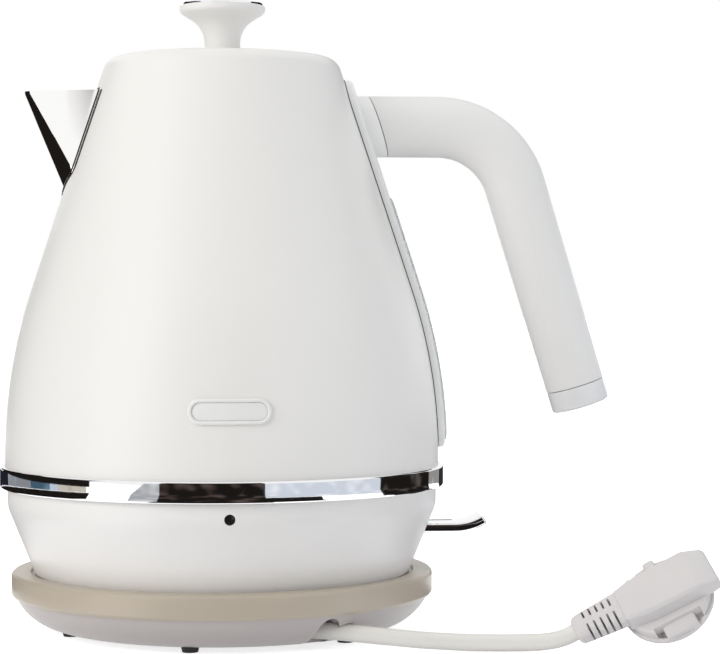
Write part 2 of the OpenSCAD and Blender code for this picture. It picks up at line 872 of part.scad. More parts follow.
module plug_body() {
    color("#e9e6e0")
        difference() {
            union() {
                in_plug() hull() {
                    grip_slice(relief_len, plug_half_w, plug_back_z);
                    grip_slice(plug_back_end_x - plug_skin, plug_wide_half_w, plug_back_z);
                    grip_slice(plug_end_x - plug_skin, plug_half_w, plug_end_z);
                }
                in_face() plug_face();
            }
            in_face() {
                for (side = [0, 1])
                    mirror([0, side, 0])
                        translate([-clip_w / 2 - fit, plug_face_r - clip_t - clip_inset, -1])
                            cube([clip_w + 2 * fit, plug_face_r, clip_h + 1]);
                at_pins() translate([0, 0, -1]) cylinder(d = pin_root_d + 2 * fit, h = pin_root + fit + 1);
            }
        }
}

module plug_pins() {
    color("#c9c9c6")
        in_face() at_pins() {
            translate([0, 0, -plug_pin_len]) cylinder(d1 = pin_tip_d, d2 = plug_pin_d, h = pin_tip);
            translate([0, 0, pin_tip - plug_pin_len]) cylinder(d = plug_pin_d, h = plug_pin_len - pin_tip);
            cylinder(d = pin_root_d, h = pin_root);
        }
}

module plug_earth_clips() {
    color("#c2b48c")
        in_face()
            for (side = [0, 1])
                mirror([0, side, 0])
                    translate([-clip_w / 2, plug_face_r - clip_t - clip_inset + fit, 0])
                        cube([clip_w, clip_t, clip_h - fit]);
}

// Kettle, from its underside up
module bottom_cover() {
    color("#dedbd4")
        difference() {
            translate([0, 0, cover_z]) cylinder(r = cover_r, h = cover_t);
            cylinder(r = socket_out_r + fit, h = plate_z * 2);
            around(skirt_screw_count, skirt_post_ring_r, skirt_post_turn) {
                cylinder(r = skirt_screw_r + fit, h = plate_z * 2);
                cylinder(r = skirt_head_r + skirt_head_room, h = cover_z + skirt_head_h);
            }
        }
}

module skirt_screws() {
    color("#9a9a98")
        around(skirt_screw_count, skirt_post_ring_r, skirt_post_turn) translate([0, 0, cover_z]) {
            cylinder(r = skirt_head_r, h = skirt_head_h);
            translate([0, 0, skirt_head_h]) cylinder(r = skirt_screw_r, h = skirt_screw_len);
        }
}

module kettle_socket() {
    color("#2b2a29")
        difference() {
            union() {
                translate([0, 0, cover_z]) cylinder(r = socket_out_r, h = socket_top_z - cover_z);
                translate([0, 0, cover_top_z]) cylinder(r = socket_out_r + socket_flange_w, h = socket_t);
            }
            translate([0, 0, cover_z - 1]) cylinder(r = socket_in_r, h = socket_roof_z - cover_z + 1);
        }
}

module coupler_contacts() {
    ring_z = shutter_z + shutter_h + run;
    pin_z = earth_floor_z + earth_pin_up;
    color("#c9a468") {
        translate([0, 0, ring_z])
            ring(slot_r - ring_contact_w / 2, slot_r + ring_contact_w / 2, socket_roof_z - ring_z);
        translate([0, 0, pin_z]) cylinder(r = earth_pin_r, h = socket_roof_z - pin_z);
    }
}

// Half section of the skirt's outer side, moved inwards by d
function skirt_side(d) = concat(
    [[skirt_foot_r + skirt_edge * tan(skirt_lean) - d / cos(skirt_lean), skirt_z + skirt_edge]],
    arc([skirt_r - knee_r, knee_mid_z], knee_r - d, -skirt_lean, 0, 6)
);

module lower_skirt() {
    spigot_r = band_hole_r - fit;
    shelf_z = band_z - shelf_t;
    section = concat(
        [[skirt_foot_r - skirt_wall_w, skirt_z], [skirt_foot_r - skirt_edge, skirt_z]],
        skirt_side(0),
        [
            [skirt_r, band_z], [spigot_r, band_z], [spigot_r, band_z + spigot_h],
            [spigot_r - spigot_t, band_z + spigot_h], [spigot_r - spigot_t, shelf_z],
            [skirt_r - skirt_t, shelf_z]
        ],
        back(skirt_side(skirt_t))
    );
    inside = concat([[0, skirt_z], [skirt_foot_r - 1, skirt_z]], skirt_side(skirt_t / 2), [[0, knee_mid_z]]);
    ear_x = pivot_x - lever_hub_r;
    color("#f1efe9")
        difference() {
            union() {
                rotate_extrude() polygon(section);
                intersection() {
                    rotate_extrude() polygon(inside);
                    union() {
                        around(skirt_screw_count, skirt_post_ring_r, skirt_post_turn) translate([0, 0, cover_top_z]) {
                            cylinder(r = skirt_post_r, h = skirt_post_h);
                            translate([0, -rib_t / 2, 0]) cube([belly_r, rib_t, skirt_post_h]);
                        }
                        for (side = [0, 1])
                            mirror([0, side, 0])
                                translate([ear_x, lever_w / 2 + lever_side_room, lever_z - ear_half])
                                    cube([belly_r, ear_t, 2 * ear_half]);
                    }
                }
            }
            around(skirt_screw_count, skirt_post_ring_r, skirt_post_turn)
                cylinder(r = skirt_screw_r + fit, h = cover_z + skirt_head_h + skirt_screw_len + skirt_screw_end_room);
            translate([pivot_x, 0, lever_z]) rotate([90, 0, 0])
                cylinder(r = pin_r + fit, h = 3 * lever_w, center = true);
            translate([pivot_x, -lever_w / 2 - slot_room / 2, lever_z - lever_t / 2 - slot_dip - slot_room])
                cube([belly_r, lever_w + slot_room, lever_t + slot_dip + 2 * slot_room]);
            translate([0, 0, lens_z]) rotate([90, 0, 0]) cylinder(r = lens_r + fit, h = belly_r);
        }
}

module indicator_lens() {
    color("#1b1a1c")
        translate([0, -skirt_r + skirt_t + lens_in, lens_z]) rotate([90, 0, 0])
            cylinder(r = lens_r, h = skirt_t + lens_in - lens_sink);
}

module indicator_lamp() {
    color("#c8573e")
        translate([0, -skirt_r + skirt_t + lens_in + lamp_len, lens_z]) rotate([90, 0, 0])
            cylinder(r = lamp_r, h = lamp_len);
}

module chrome_band() {
    color("#d7dade")
        rotate_extrude() polygon([
            [band_hole_r, band_z], [band_r - band_edge, band_z], [band_r, band_z + band_edge],
            [band_r, band_z + band_h - band_edge], [band_r - band_edge, band_z + band_h],
            [band_in_r, band_z + band_h], [band_in_r, shell_z], [band_hole_r, shell_z]
        ]);
}

module thermostat_controller() {
    flange_z = controller_top_z - controller_flange_t;
    color("#33312f")
        difference() {
            union() {
                translate([0, 0, controller_z]) cylinder(r = controller_r, h = flange_z - controller_z);
                translate([0, 0, flange_z]) cylinder(r = controller_r + controller_flange_w, h = controller_flange_t);
                for (side = [-1, 1])
                    translate([side * sensor_x, 0, controller_top_z])
                        cylinder(r = sensor_r, h = sensor_h);
            }
            around(stud_count, stud_ring_r, stud_turn) cylinder(r = stud_r + fit, h = shoulder_z);
        }
}

module controller_screws() {
    head_z = controller_top_z - controller_flange_t - stud_head_h;
    color("#a6a6a3")
        around(stud_count, stud_ring_r, stud_turn) {
            translate([0, 0, head_z]) cylinder(r = stud_head_r, h = stud_head_h);
            translate([0, 0, head_z + stud_head_h])
                cylinder(r = stud_r, h = diffuser_z + stud_bite - head_z - stud_head_h);
        }
}

module heating_element() {
    mid_z = diffuser_z - element_r + element_sink;
    color("#8d8f92")
        difference() {
            union() {
                translate([0, 0, mid_z]) rotate([0, 0, element_turn + element_gap / 2])
                    rotate_extrude(angle = 360 - element_gap) translate([element_ring_r, 0]) circle(r = element_r);
                for (side = [-1, 1])
                    rotate([0, 0, element_turn + side * (element_gap / 2 + tail_in)]) translate([element_ring_r, 0, mid_z - tail_len])
                        cylinder(r = tail_r, h = tail_len);
            }
            translate([0, 0, diffuser_z]) cylinder(r = belly_r, h = element_r);
        }
}

module heat_diffuser() {
    color("#b9bcbf")
        difference() {
            translate([0, 0, diffuser_z]) cylinder(r = diffuser_r, h = diffuser_t);
            around(stud_count, stud_ring_r, stud_turn)
                translate([0, 0, diffuser_z - 1]) cylinder(r = stud_r + fit, h = stud_bite + 1 + fit);
        }
}

module heating_plate() {
    color("#c3c6c9")
        difference() {
            translate([0, 0, floor_z]) cylinder(r = floor_r, h = floor_t);
            translate([steam_x, 0, floor_z - 1]) cylinder(r = steam_r + fit, h = floor_t + 2);
        }
}

module vessel_seal() {
    top = floor_z + floor_t;
    color("#b8b8b4")
        rotate_extrude() polygon([[floor_r - bead, top], [floor_r, top], [floor_r, top + bead]]);
}

module steam_tube() {
    in_r = steam_r - steam_t;
    color("#cfd1d2") {
        translate([steam_x, 0, steam_low_z]) ring(in_r, steam_r, steam_bend_z - steam_low_z + lap);
        translate([steam_x - steam_bend_r, 0, steam_bend_z]) rotate([90, 0, 0]) {
            elbow(steam_bend_r, in_r, steam_r, steam_lean);
            rotate([0, 0, steam_lean]) translate([steam_bend_r, -lap, 0]) rotate([-90, 0, 0])
                ring(in_r, steam_r, steam_run + lap);
        }
    }
}

module upper_shell() {
    outer = concat([[belly_r, shell_z]], flank(0));
    mouth = concat(
        arc([mouth_r + lip_r, shoulder_z - lip_r], lip_r, 90, 180, 4),
        [
            [mouth_r, ledge_z], [throat_r, ledge_z], [throat_r, ledge_z - throat_h],
            [throat_r + shell_t, ledge_z - throat_h], [throat_r + shell_t, ledge_z - shell_t],
            [mouth_r + shell_t, ledge_z - shell_t], [mouth_r + shell_t, shoulder_z - shell_t]
        ]
    );
    inner = concat(back(flank(-shell_t)), [[belly_r - shell_t, shell_z]]);
    color("#f3f1eb")
        difference() {
            rotate_extrude() polygon(concat(outer, mouth, inner));
            spout_form(spout_t, spout_t);
            back_block(gauge_slot_half_w, gauge_low_z + gauge_slot_end, gauge_low_z + gauge_h - gauge_slot_end);
        }
}

// Spout as one convex form, moved inwards by d and longer at its top by up
module spout_form(d, up) {
    foot_x = spout_foot_x - ridge_r * cos(ridge_lean);
    foot_z = spout_foot_z + ridge_r * sin(ridge_lean);
    hull($fn = 32) {
        translate([-spout_tip_x + ridge_r, 0, spout_z - 1]) cylinder(r = ridge_r - d, h = 1 + up);
        translate([-foot_x, 0, foot_z]) sphere(r = ridge_r - d);
        for (side = [-1, 1]) {
            translate([-spout_back_x, side * spout_back_half_w, spout_z - 1])
                cylinder(r = spout_back_r - d, h = 1 + up);
            translate([-corner_x, side * (spout_half_w - corner_r), spout_foot_z + corner_up])
                sphere(r = corner_r - d);
        }
    }
}

module spout() {
    color("#cfd2d5")
        difference() {
            spout_form(0, 0);
            spout_form(spout_t, spout_t);
            body_solid(fit);
        }
}

// The filter's own frame: width along Y, height down -Z, thickness along +X
module in_filter() {
    translate([-filter_x, 0, filter_z]) rotate([0, flank_lean, 0]) children();
}

module filter_frame() {
    window_w = filter_w - 2 * filter_border;
    window_h = filter_h - 2 * filter_border;
    color("#e4e2dc")
        in_filter() difference() {
            translate([0, -filter_w / 2, -filter_h]) cube([filter_t, filter_w, filter_h]);
            translate([-1, -window_w / 2, filter_border - filter_h]) cube([filter_t + 2, window_w, window_h]);
        }
}

module filter_mesh() {
    mesh_w = filter_w - 2 * filter_border - 2 * fit;
    mesh_h = filter_h - 2 * filter_border - 2 * fit;
    cols = 8;
    rows = 9;
    hole = 2;
    color("#a9adb0")
        in_filter() translate([filter_t / 2, -mesh_w / 2, -filter_border - fit - mesh_h]) difference() {
            cube([filter_mesh_t, mesh_w, mesh_h]);
            for (i = [0:cols - 1])
                for (k = [0:rows - 1])
                    translate([-1, (i + 0.5) * mesh_w / cols - hole / 2, (k + 0.5) * mesh_h / rows - hole / 2])
                        cube([filter_mesh_t + 2, hole, hole]);
        }
}

module spine_panel() {
    color("#edecea")
        difference() {
            intersection() {
                body_solid(spine_proud);
                back_block(spine_half_w, spine_low_z, spine_top_z);
            }
            body_solid(fit);
            bracket_plate(bracket_t + 2 * fit, bracket_half_w + fit);
            back_block(gauge_half_w + fit, gauge_low_z - fit, gauge_low_z + gauge_h + fit);
            translate([0, 0, handle_z]) rotate([0, 90, 0]) cylinder(r = tongue_r + fit, h = 2 * belly_r);
        }
}

module gauge_window() {
    color("#dfe4e6")
        difference() {
            intersection() {
                body_solid(spine_proud + gauge_proud);
                back_block(gauge_half_w, gauge_low_z, gauge_low_z + gauge_h);
            }
            body_solid(fit);
        }
}

// Plate of the handle bracket, as thick as t, following the body
module bracket_plate(t, half_w) {
    intersection() {
        body_solid(t);
        back_block(half_w, handle_z - bracket_up, handle_z + bracket_up);
    }
}

module handle_bracket() {
    color("#a3a6a8")
        difference() {
            union() {
                bracket_plate(bracket_t, bracket_half_w);
                translate([mouth_r, 0, handle_z]) rotate([0, 90, 0])
                    cylinder(r = tongue_r, h = tongue_end_x - mouth_r);
            }
            body_solid(fit);
        }
}

// Everything on the body's side of the plane where the grip starts
module seat_side(off) {
    translate([body_at(handle_z), 0, handle_z]) rotate([0, -flank_lean, 0])
        translate([off - 2 * belly_r, -belly_r, -belly_r]) cube([2 * belly_r, 2 * belly_r, 2 * belly_r]);
}

module handle_root_collar() {
    color("#eeedea")
        difference() {
            intersection() {
                translate([mouth_r, 0, handle_z]) rotate([0, 90, 0]) cylinder(r = grip_r, h = 2 * belly_r);
                seat_side(seat_off);
            }
            body_solid(spine_proud + fit);
            translate([0, 0, handle_z]) rotate([0, 90, 0]) cylinder(r = tongue_r + fit, h = 2 * belly_r);
        }
}

module handle_grip() {
    color("#f0efec") {
        difference() {
            translate([mouth_r, 0, handle_z]) rotate([0, 90, 0])
                ring(grip_bore_r, grip_r, bend_x - mouth_r + lap);
            seat_side(seat_off + fit);
        }
        translate([bend_x, 0, bend_z]) rotate([90, 0, 0]) rotate([0, 0, grip_lean])
            elbow(bend_r, grip_bore_r, grip_r, turn);
        in_cap() difference() {
            translate([0, 0, -grip_lower_len - lap]) cylinder(r1 = grip_r, r2 = seam_r, h = grip_lower_len + lap);
            translate([0, 0, -grip_lower_len - 1]) cylinder(r = grip_bore_r, h = grip_lower_len + 2);
        }
    }
}

// The end cap's own frame: the grip's lower axis is +Z, from the seam
module in_cap() {
    translate([bend_x + bend_r * cos(grip_lean), 0, bend_z + bend_r * sin(grip_lean)])
        rotate([0, 180 - grip_lean, 0]) translate([0, 0, grip_lower_len]) children();
}

module handle_end_cap() {
    color("#e6e6e4")
        in_cap() rotate_extrude() polygon(concat(
            [[0, -cap_spigot_len], [grip_bore_r - fit, -cap_spigot_len], [grip_bore_r - fit, 0], [seam_r, 0]],
            arc([grip_end_r - cap_edge_r, cap_len - cap_edge_r], cap_edge_r, 0, 90, 6),
            [[0, cap_len]]
        ));
}

module badge_rim() {
    color("#d3d2cd")
        difference() {
            intersection() {
                body_solid(badge_rim_proud);
                front_block(badge_w, badge_h);
            }
            body_solid(fit);
            front_block(badge_w - 2 * badge_rim_w, badge_h - 2 * badge_rim_w);
        }
}

module badge_plate() {
    inset = 2 * badge_rim_w + 2 * fit;
    color("#e2e0da")
        difference() {
            intersection() {
                body_solid(badge_plate_proud);
                front_block(badge_w - inset, badge_h - inset);
            }
            body_solid(fit);
        }
}

// Switch
module switch_pin() {
    color("#b4b6b8")
        translate([pivot_x, 0, lever_z]) rotate([90, 0, 0])
            cylinder(r = pin_r, h = lever_w + 2 * lever_side_room + 2 * ear_t, center = true);
}

module switch_lever() {
    curl_x = lever_tip_x - curl_len - pivot_x;
    half = lever_t / 2;
    low = arc([curl_x, curl_r], curl_r + half, -90, curl_angle - 90, 8);
    high = arc([curl_x, curl_r], curl_r - half, -90, curl_angle - 90, 8);
    color("#ced2d6")
        translate([pivot_x, 0, lever_z]) difference() {
            rotate([90, 0, 0]) linear_extrude(lever_w, center = true) {
                polygon(concat([[-lever_tail, half], [-lever_tail, -half]], low, back(high)));
                circle(r = lever_hub_r);
            }
            rotate([90, 0, 0]) cylinder(r = pin_r + fit, h = 2 * lever_w, center = true);
        }
}

module switch_arm() {
    top = lever_z - lever_t / 2;
    near = lever_hub_r + arm_off;
    color("#4a4846")
        translate([pivot_x - arm_reach, -arm_w / 2, top - arm_h]) cube([arm_reach - near, arm_w, arm_h]);
}

// Lid and knob
module lid_liner() {
    color("#d9dadb")
        difference() {
            translate([0, 0, liner_z]) cylinder(r = liner_r, h = liner_h);
            difference() {
                translate([0, 0, liner_z + liner_t]) cylinder(r = liner_r - seal_groove_d - liner_t, h = liner_h);
                cylinder(r = screw_boss_r, h = shoulder_z);
            }
            translate([0, 0, seal_z]) ring(liner_r - seal_groove_d, liner_r + 1, seal_h);
            cylinder(r = screw_r + fit, h = shoulder_z + body_h);
        }
}

module lid_seal() {
    lip = (seal_h - 1) / 2;
    in_r = liner_r - seal_groove_d + fit;
    out_r = throat_r - run;
    color("#c9c9c5")
        rotate_extrude() polygon([
            [in_r, seal_z + fit], [out_r - lip / 2, seal_z + fit], [out_r, seal_z + lip], [out_r, seal_z + seal_h - lip],
            [out_r - lip / 2, seal_z + seal_h - fit], [in_r, seal_z + seal_h - fit]
        ]);
}

module lid_cover() {
    crown_r = (pow(lid_r, 2) + pow(crown_h, 2)) / (2 * crown_h);
    crown_mid = lid_crown_z - crown_r;
    rim_angle = acos((lid_r - lid_edge_r) / crown_r);
    edge_mid = crown_mid + crown_r * sin(rim_angle) - lid_edge_r;
    color("#f2f0ea")
        difference() {
            rotate_extrude() polygon(concat(
                [[0, ledge_z], [lid_r, ledge_z]],
                arc([lid_r - lid_edge_r, edge_mid], lid_edge_r, 0, 90, 4),
                [for (i = [1:8]) let (a = rim_angle + (90 - rim_angle) * i / 8)
                    [crown_r * cos(a), crown_mid + crown_r * sin(a)]]
            ));
            cylinder(r = screw_r + fit, h = shoulder_z + body_h);
            translate([0, 0, knob_z - knob_base_w]) cylinder(r = stem_r + knob_base_w + fit, h = crown_h + 1);
        }
}

module lid_screw() {
    color("#a6a6a3") {
        translate([0, 0, liner_z - screw_head_h]) cylinder(r = screw_head_r, h = screw_head_h);
        translate([0, 0, liner_z]) cylinder(r = screw_r, h = knob_z + screw_grip - liner_z);
    }
}

module knob() {
    low_z = knob_z - knob_base_w;
    recess_z = knob_top_z - knob_cap_seat;
    color("#f1efe9")
        difference() {
            rotate_extrude() polygon(concat(
                [[0, low_z], [stem_r + knob_base_w, low_z], [stem_r + knob_base_w, knob_z], [stem_r, knob_z + knob_base_w]],
                arc([stem_r + flare_r, flare_z], flare_r, 180, 180 - flare_angle, 8),
                arc([head_r - head_edge_r, head_low_z], head_edge_r, -flare_angle, 0, 8),
                [[head_r, knob_top_z - head_bevel], [head_r - head_bevel, knob_top_z], [0, knob_top_z]]
            ));
            translate([0, 0, low_z - 1]) cylinder(r = screw_r + fit, h = screw_grip + knob_base_w + 1 + screw_end_room);
            translate([0, 0, recess_z]) cylinder(r = knob_cap_r + fit, h = head_h);
            translate([0, 0, recess_z - cap_spigot_h - fit]) cylinder(r = cap_spigot_r + fit, h = cap_spigot_h + 1);
        }
}

module knob_cap() {
    recess_z = knob_top_z - knob_cap_seat;
    dome_r = (pow(knob_cap_r, 2) + pow(knob_cap_dome, 2)) / (2 * knob_cap_dome);
    rim_z = recess_z + knob_cap_h + head_wall - knob_cap_dome;
    rim_angle = acos(knob_cap_r / dome_r);
    color("#d2d5d8")
        rotate_extrude() polygon(concat(
            [[0, recess_z - cap_spigot_h], [cap_spigot_r, recess_z - cap_spigot_h], [cap_spigot_r, recess_z],
             [knob_cap_r, recess_z]],
            [for (i = [0:8]) let (a = rim_angle + (90 - rim_angle) * i / 8)
                [dome_r * cos(a), rim_z + knob_cap_dome - dome_r + dome_r * sin(a)]]
        ));
}

base_feet();
base_dish();
base_top_plate();
base_screws();
base_connector();
base_contacts();
connector_shutter();
cord_clamp();
base_leads();
mains_cord();
plug_relief();
plug_body();
plug_pins();
plug_earth_clips();
bottom_cover();
skirt_screws();
kettle_socket();
coupler_contacts();
lower_skirt();
indicator_lens();
indicator_lamp();
chrome_band();
thermostat_controller();
controller_screws();
heating_element();
heat_diffuser();
heating_plate();
vessel_seal();
steam_tube();
upper_shell();
spout();
filter_frame();
filter_mesh();
spine_panel();
gauge_window();
handle_bracket();
handle_root_collar();
handle_grip();
handle_end_cap();
badge_rim();
badge_plate();
switch_pin();
switch_lever();
switch_arm();
lid_liner();
lid_seal();
lid_cover();
lid_screw();
knob();
knob_cap();
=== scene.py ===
from math import acos, asin, atan, cos, pi, radians, sin, sqrt, tan
import bpy
import bmesh
from mathutils import Euler, Matrix, Vector


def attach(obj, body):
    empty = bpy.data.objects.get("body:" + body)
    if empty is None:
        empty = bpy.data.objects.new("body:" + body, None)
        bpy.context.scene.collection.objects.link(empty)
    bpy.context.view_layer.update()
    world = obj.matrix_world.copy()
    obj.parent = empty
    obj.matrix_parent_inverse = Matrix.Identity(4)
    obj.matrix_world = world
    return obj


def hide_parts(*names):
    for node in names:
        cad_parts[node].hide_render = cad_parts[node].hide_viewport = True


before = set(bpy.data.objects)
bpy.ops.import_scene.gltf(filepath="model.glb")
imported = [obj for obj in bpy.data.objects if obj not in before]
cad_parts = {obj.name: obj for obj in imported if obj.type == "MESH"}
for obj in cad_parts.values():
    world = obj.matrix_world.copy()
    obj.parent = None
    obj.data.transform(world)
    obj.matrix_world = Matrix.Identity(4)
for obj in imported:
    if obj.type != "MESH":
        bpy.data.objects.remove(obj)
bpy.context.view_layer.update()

# Camera of the product shot: a long lens a little above the middle of the kettle, turned a few degrees
# to the spout's side. It is placed in metres; the sizes of the pieces below are in millimetres.
MM = 0.001
viewer_side = -90 - 5.2
lens_place, lens_aim = (-0.0266, -0.8987, 0.136), Vector((0.0906, 0.9959, -0.0176))


def new_object(name, data):
    made = bpy.data.objects.new(name, data)
    bpy.context.collection.objects.link(made)
    return made


shot = bpy.data.cameras.new("product_shot")
shot.lens = 112.2
shot.sensor_width = 36.0
shot.sensor_fit = "HORIZONTAL"
shot.clip_end = 60.0
camera = new_object("product_shot", shot)
camera.location = lens_place
camera.rotation_euler = lens_aim.to_track_quat("-Z", "Y").to_euler()
bpy.context.scene.camera = camera

# Mains cord: white PVC over three cores, round, from the clamp inside the base out over
# the table to the plug. It lies as the photo shows it, and lifts into the plug at its end.
cord_d = 6.4
cord_route = [
    (16, -54, 7.6), (22, -56.8, 7.6), (28, -59.4, 7.6), (35, -62.2, 7.5), (42, -64.6, 7.2),
    (49, -66.4, 6.7), (56, -67.6, 6), (63, -68.4, 5.3), (70, -68.8, 4.6), (77, -69.1, 4.1),
    (84, -69.3, 3.7), (91, -69.7, 3.4), (98, -70.3, 3.3), (105, -71.1, 3.3), (111.6, -72.2, 3.5),
    (116.8, -73.2, 3.8), (121.2, -74.1, 4.5), (125.2, -74.8, 5.7), (128.8, -75.3, 7.5),
]


def new_nodes(tree, *kinds):
    return [tree.nodes.new("ShaderNode" + kind) for kind in kinds]


def set_sockets(node, **values):
    """Values on a node's inputs, with _ for a blank in their names."""
    for socket, value in values.items():
        node.inputs[socket.replace("_", " ")].default_value = value


def wire(tree, *links):
    """Links from outputs to inputs."""
    for source, put_out, target, taken in links:
        tree.links.new(source.outputs[put_out], target.inputs[taken])


def new_group(name, given, put_out):
    """Empty node group with its sockets, input node and output node."""
    group = bpy.data.node_groups.new(name, "ShaderNodeTree")
    for sockets, way in ((given, "INPUT"), (put_out, "OUTPUT")):
        for socket, kind in sockets.items():
            group.interface.new_socket(socket, in_out=way, socket_type="NodeSocket" + kind)
    return group, group.nodes.new("NodeGroupInput"), group.nodes.new("NodeGroupOutput")


def surface_group():
    """Shared finish of moulded, painted and metal faces: drift of tone and roughness, and fine relief."""
    group, given, out = new_group(
        "surface_drift",
        {"Light tone": "Color", "Dark tone": "Color", "Drift size": "Float", "Grain size": "Float",
         "Smooth": "Float", "Rough": "Float", "Relief": "Float"},
        {"Tone": "Color", "Roughness": "Float", "Normal": "Vector"})
    place, drift, grain, tone, sheen, bump = new_nodes(
        group, "TexCoord", "TexNoise", "TexNoise", "Mix", "MapRange", "Bump")
    tone.data_type = "RGBA"
    set_sockets(drift, Detail=3.0)
    set_sockets(grain, Detail=2.0)
    set_sockets(bump, Distance=0.0002)
    wire(group,
         (place, "Object", drift, "Vector"), (given, "Drift size", drift, "Scale"),
         (place, "Object", grain, "Vector"), (given, "Grain size", grain, "Scale"),
         (drift, "Fac", tone, "Factor"), (given, "Dark tone", tone, "A"), (given, "Light tone", tone, "B"),
         (given, "Smooth", sheen, "To Min"), (given, "Rough", sheen, "To Max"), (grain, "Fac", sheen, 0),
         (grain, "Fac", bump, "Height"), (given, "Relief", bump, "Strength"),
         (tone, "Result", out, "Tone"), (sheen, "Result", out, "Roughness"), (bump, "Normal", out, "Normal"))
    return group


surface_drift = surface_group()


def new_material(name, group):
    """Material, its shader, and its node of the group."""
    made = bpy.data.materials.new(name)
    made.use_nodes = True
    skin = made.node_tree.nodes.new("ShaderNodeGroup")
    skin.node_tree = group
    return made, made.node_tree.nodes["Principled BSDF"], skin


def finish_of(name, light, dark, smooth, rough, drift=18.0, grain=900.0, relief=0.0, **sockets):
    """Material with the shared drift and its own values on the shader."""
    made, shader, skin = new_material(name, surface_drift)
    set_sockets(skin, Light_tone=(*light, 1), Dark_tone=(*dark, 1), Drift_size=drift, Grain_size=grain,
                Smooth=smooth, Rough=rough, Relief=relief)
    set_sockets(shader, **sockets)
    wire(made.node_tree, (skin, "Tone", shader, "Base Color"), (skin, "Roughness", shader, "Roughness"))
    if relief:
        wire(made.node_tree, (skin, "Normal", shader, "Normal"))
    return made


UNMOVED = Matrix.Identity(4)


def plain_mesh(name, points, faces):
    data = bpy.data.meshes.new(name)
    data.from_pydata(points, [], faces)
    return new_object(name, data)


def mesh_piece(name, points, faces, finish, sharp=32, place=UNMOVED):
    """Object from points in millimetres, smooth but for edges that turn more than sharp degrees."""
    return dress(plain_mesh(name, [place @ Vector(p) * MM for p in points], faces), finish, sharp)


def dress(made, finish, sharp=32):
    """Merges doubles, turns the faces outwards, sets the shading and the material."""
    work = bmesh.new()
    work.from_mesh(made.data)
    bmesh.ops.remove_doubles(work, verts=work.verts, dist=1e-6)
    bmesh.ops.dissolve_degenerate(work, edges=work.edges, dist=1e-7)
    bmesh.ops.recalc_face_normals(work, faces=work.faces)
    work.to_mesh(made.data)
    work.free()
    made.data.shade_smooth()
    made.data.set_sharp_from_angle(angle=radians(sharp))
    made.data.materials.clear()
    made.data.materials.append(finish)
    return made


def fixed(made, body, slot, *nodes):
    """The piece rides on its body and stands for the nodes. The slot is not used."""
    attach(made, body)
    if nodes:
        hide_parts(*nodes)


def sweep(name, path, radii, sides, finish):
    """Round rod along a path, with a radius for each of its points."""
    points, side = [], None
    for i, spot in enumerate(path):
        way = (Vector(path[min(i + 1, len(path) - 1)]) - Vector(path[max(i - 1, 0)])).normalized()
        side = way.orthogonal().normalized() if side is None else (side - way * side.dot(way)).normalized()
        other = way.cross(side)
        for k in range(sides):
            turn = 2 * pi * k / sides
            points.append(Vector(spot) + radii[i] * (cos(turn) * side + sin(turn) * other))
    return mesh_piece(name, points, closed_skin(len(path), sides), finish)


def skin_faces(pairs, n):
    """Faces between pairs of rings of n points each."""
    return [(a * n + k, a * n + (k + 1) % n, b * n + (k + 1) % n, b * n + k)
            for a, b in pairs for k in range(n)]


def closed_skin(rings, n):
    """Faces over a row of rings, with one face that closes each end."""
    faces = skin_faces(zip(range(rings - 1), range(1, rings)), n)
    return faces + [tuple(range(n)), tuple(range((rings - 1) * n, rings * n))]


def smooth_route(points, parts):
    """Points on a smooth curve through the given ones."""
    spots = [Vector(p) for p in points]
    spots = [2 * spots[0] - spots[1]] + spots + [2 * spots[-1] - spots[-2]]
    route = []
    for a, b, c, d in zip(spots, spots[1:], spots[2:], spots[3:]):
        for k in range(parts):
            t = k / parts
            route.append(0.5 * (2 * b + (c - a) * t + (2 * a - 5 * b + 4 * c - d) * t * t
                                + (3 * b - a - 3 * c + d) * t ** 3))
    return route + [spots[-2]]


cord_pvc = finish_of(
    "cord_pvc", (0.80, 0.78, 0.735), (0.74, 0.72, 0.68), 0.34, 0.46, drift=60, grain=700, relief=0.08)
cord_line = smooth_route(cord_route, 4)
mains_cord = sweep("mains_cord_sleeve", cord_line, [cord_d / 2] * len(cord_line), 28, cord_pvc)
fixed(mains_cord, "power_base", "cord_pvc", "mains_cord")

# Strain relief: soft PVC moulded round the cord's end, tapered, with five slots on each side of
# a middle rib on its upper face so that it bends evenly. It is one moulding with the plug.
plug_tilt = Euler([radians(a) for a in (46, -28, -8)], "XYZ").to_matrix().to_4x4()
plug_frame = Matrix.Translation(cord_route[-1]) @ plug_tilt
relief_len, relief_half_w, relief_half_h, relief_corner, corner_loss = 19.2, 5.2, 4.0, 2.6, 0.4
nose_len, grip_half_w, grip_top = 1.6, 7.1, 2.7
slot_pitch, slot_w, slot_from, slot_count, rib_w = 2.7, 0.8, 0.6, 5, 2.6
slot_near_low, slot_far_low, slot_far_end, tool_past = -2.4, 0.4, 4.6, 12.0


def between(a, b, t):
    return a + (b - a) * t


def apply_modifiers(made):
    done = bpy.data.meshes.new_from_object(made.evaluated_get(bpy.context.evaluated_depsgraph_get()))
    made.modifiers.clear()
    made.data = done


def carve(made, tool, how="DIFFERENCE"):
    """Applies a boolean with the tool, which is then thrown away."""
    cut = made.modifiers.new("cut", "BOOLEAN")
    cut.object, cut.operation, cut.solver = tool, how, "EXACT"
    apply_modifiers(made)
    bpy.data.objects.remove(tool)


def soft_edges(made, width, steps=3, angle=40):
    """Rounds the edges that turn more than the angle. The width is in millimetres."""
    edge = made.modifiers.new("edge", "BEVEL")
    edge.width, edge.segments, edge.limit_method = width * MM, steps, "ANGLE"
    edge.angle_limit = radians(angle)
    edge.harden_normals = False
    apply_modifiers(made)


BLOCK_FACES = [(0, 1, 3, 2), (4, 6, 7, 5), (0, 4, 5, 1), (2, 3, 7, 6), (0, 2, 6, 4), (1, 5, 7, 3)]


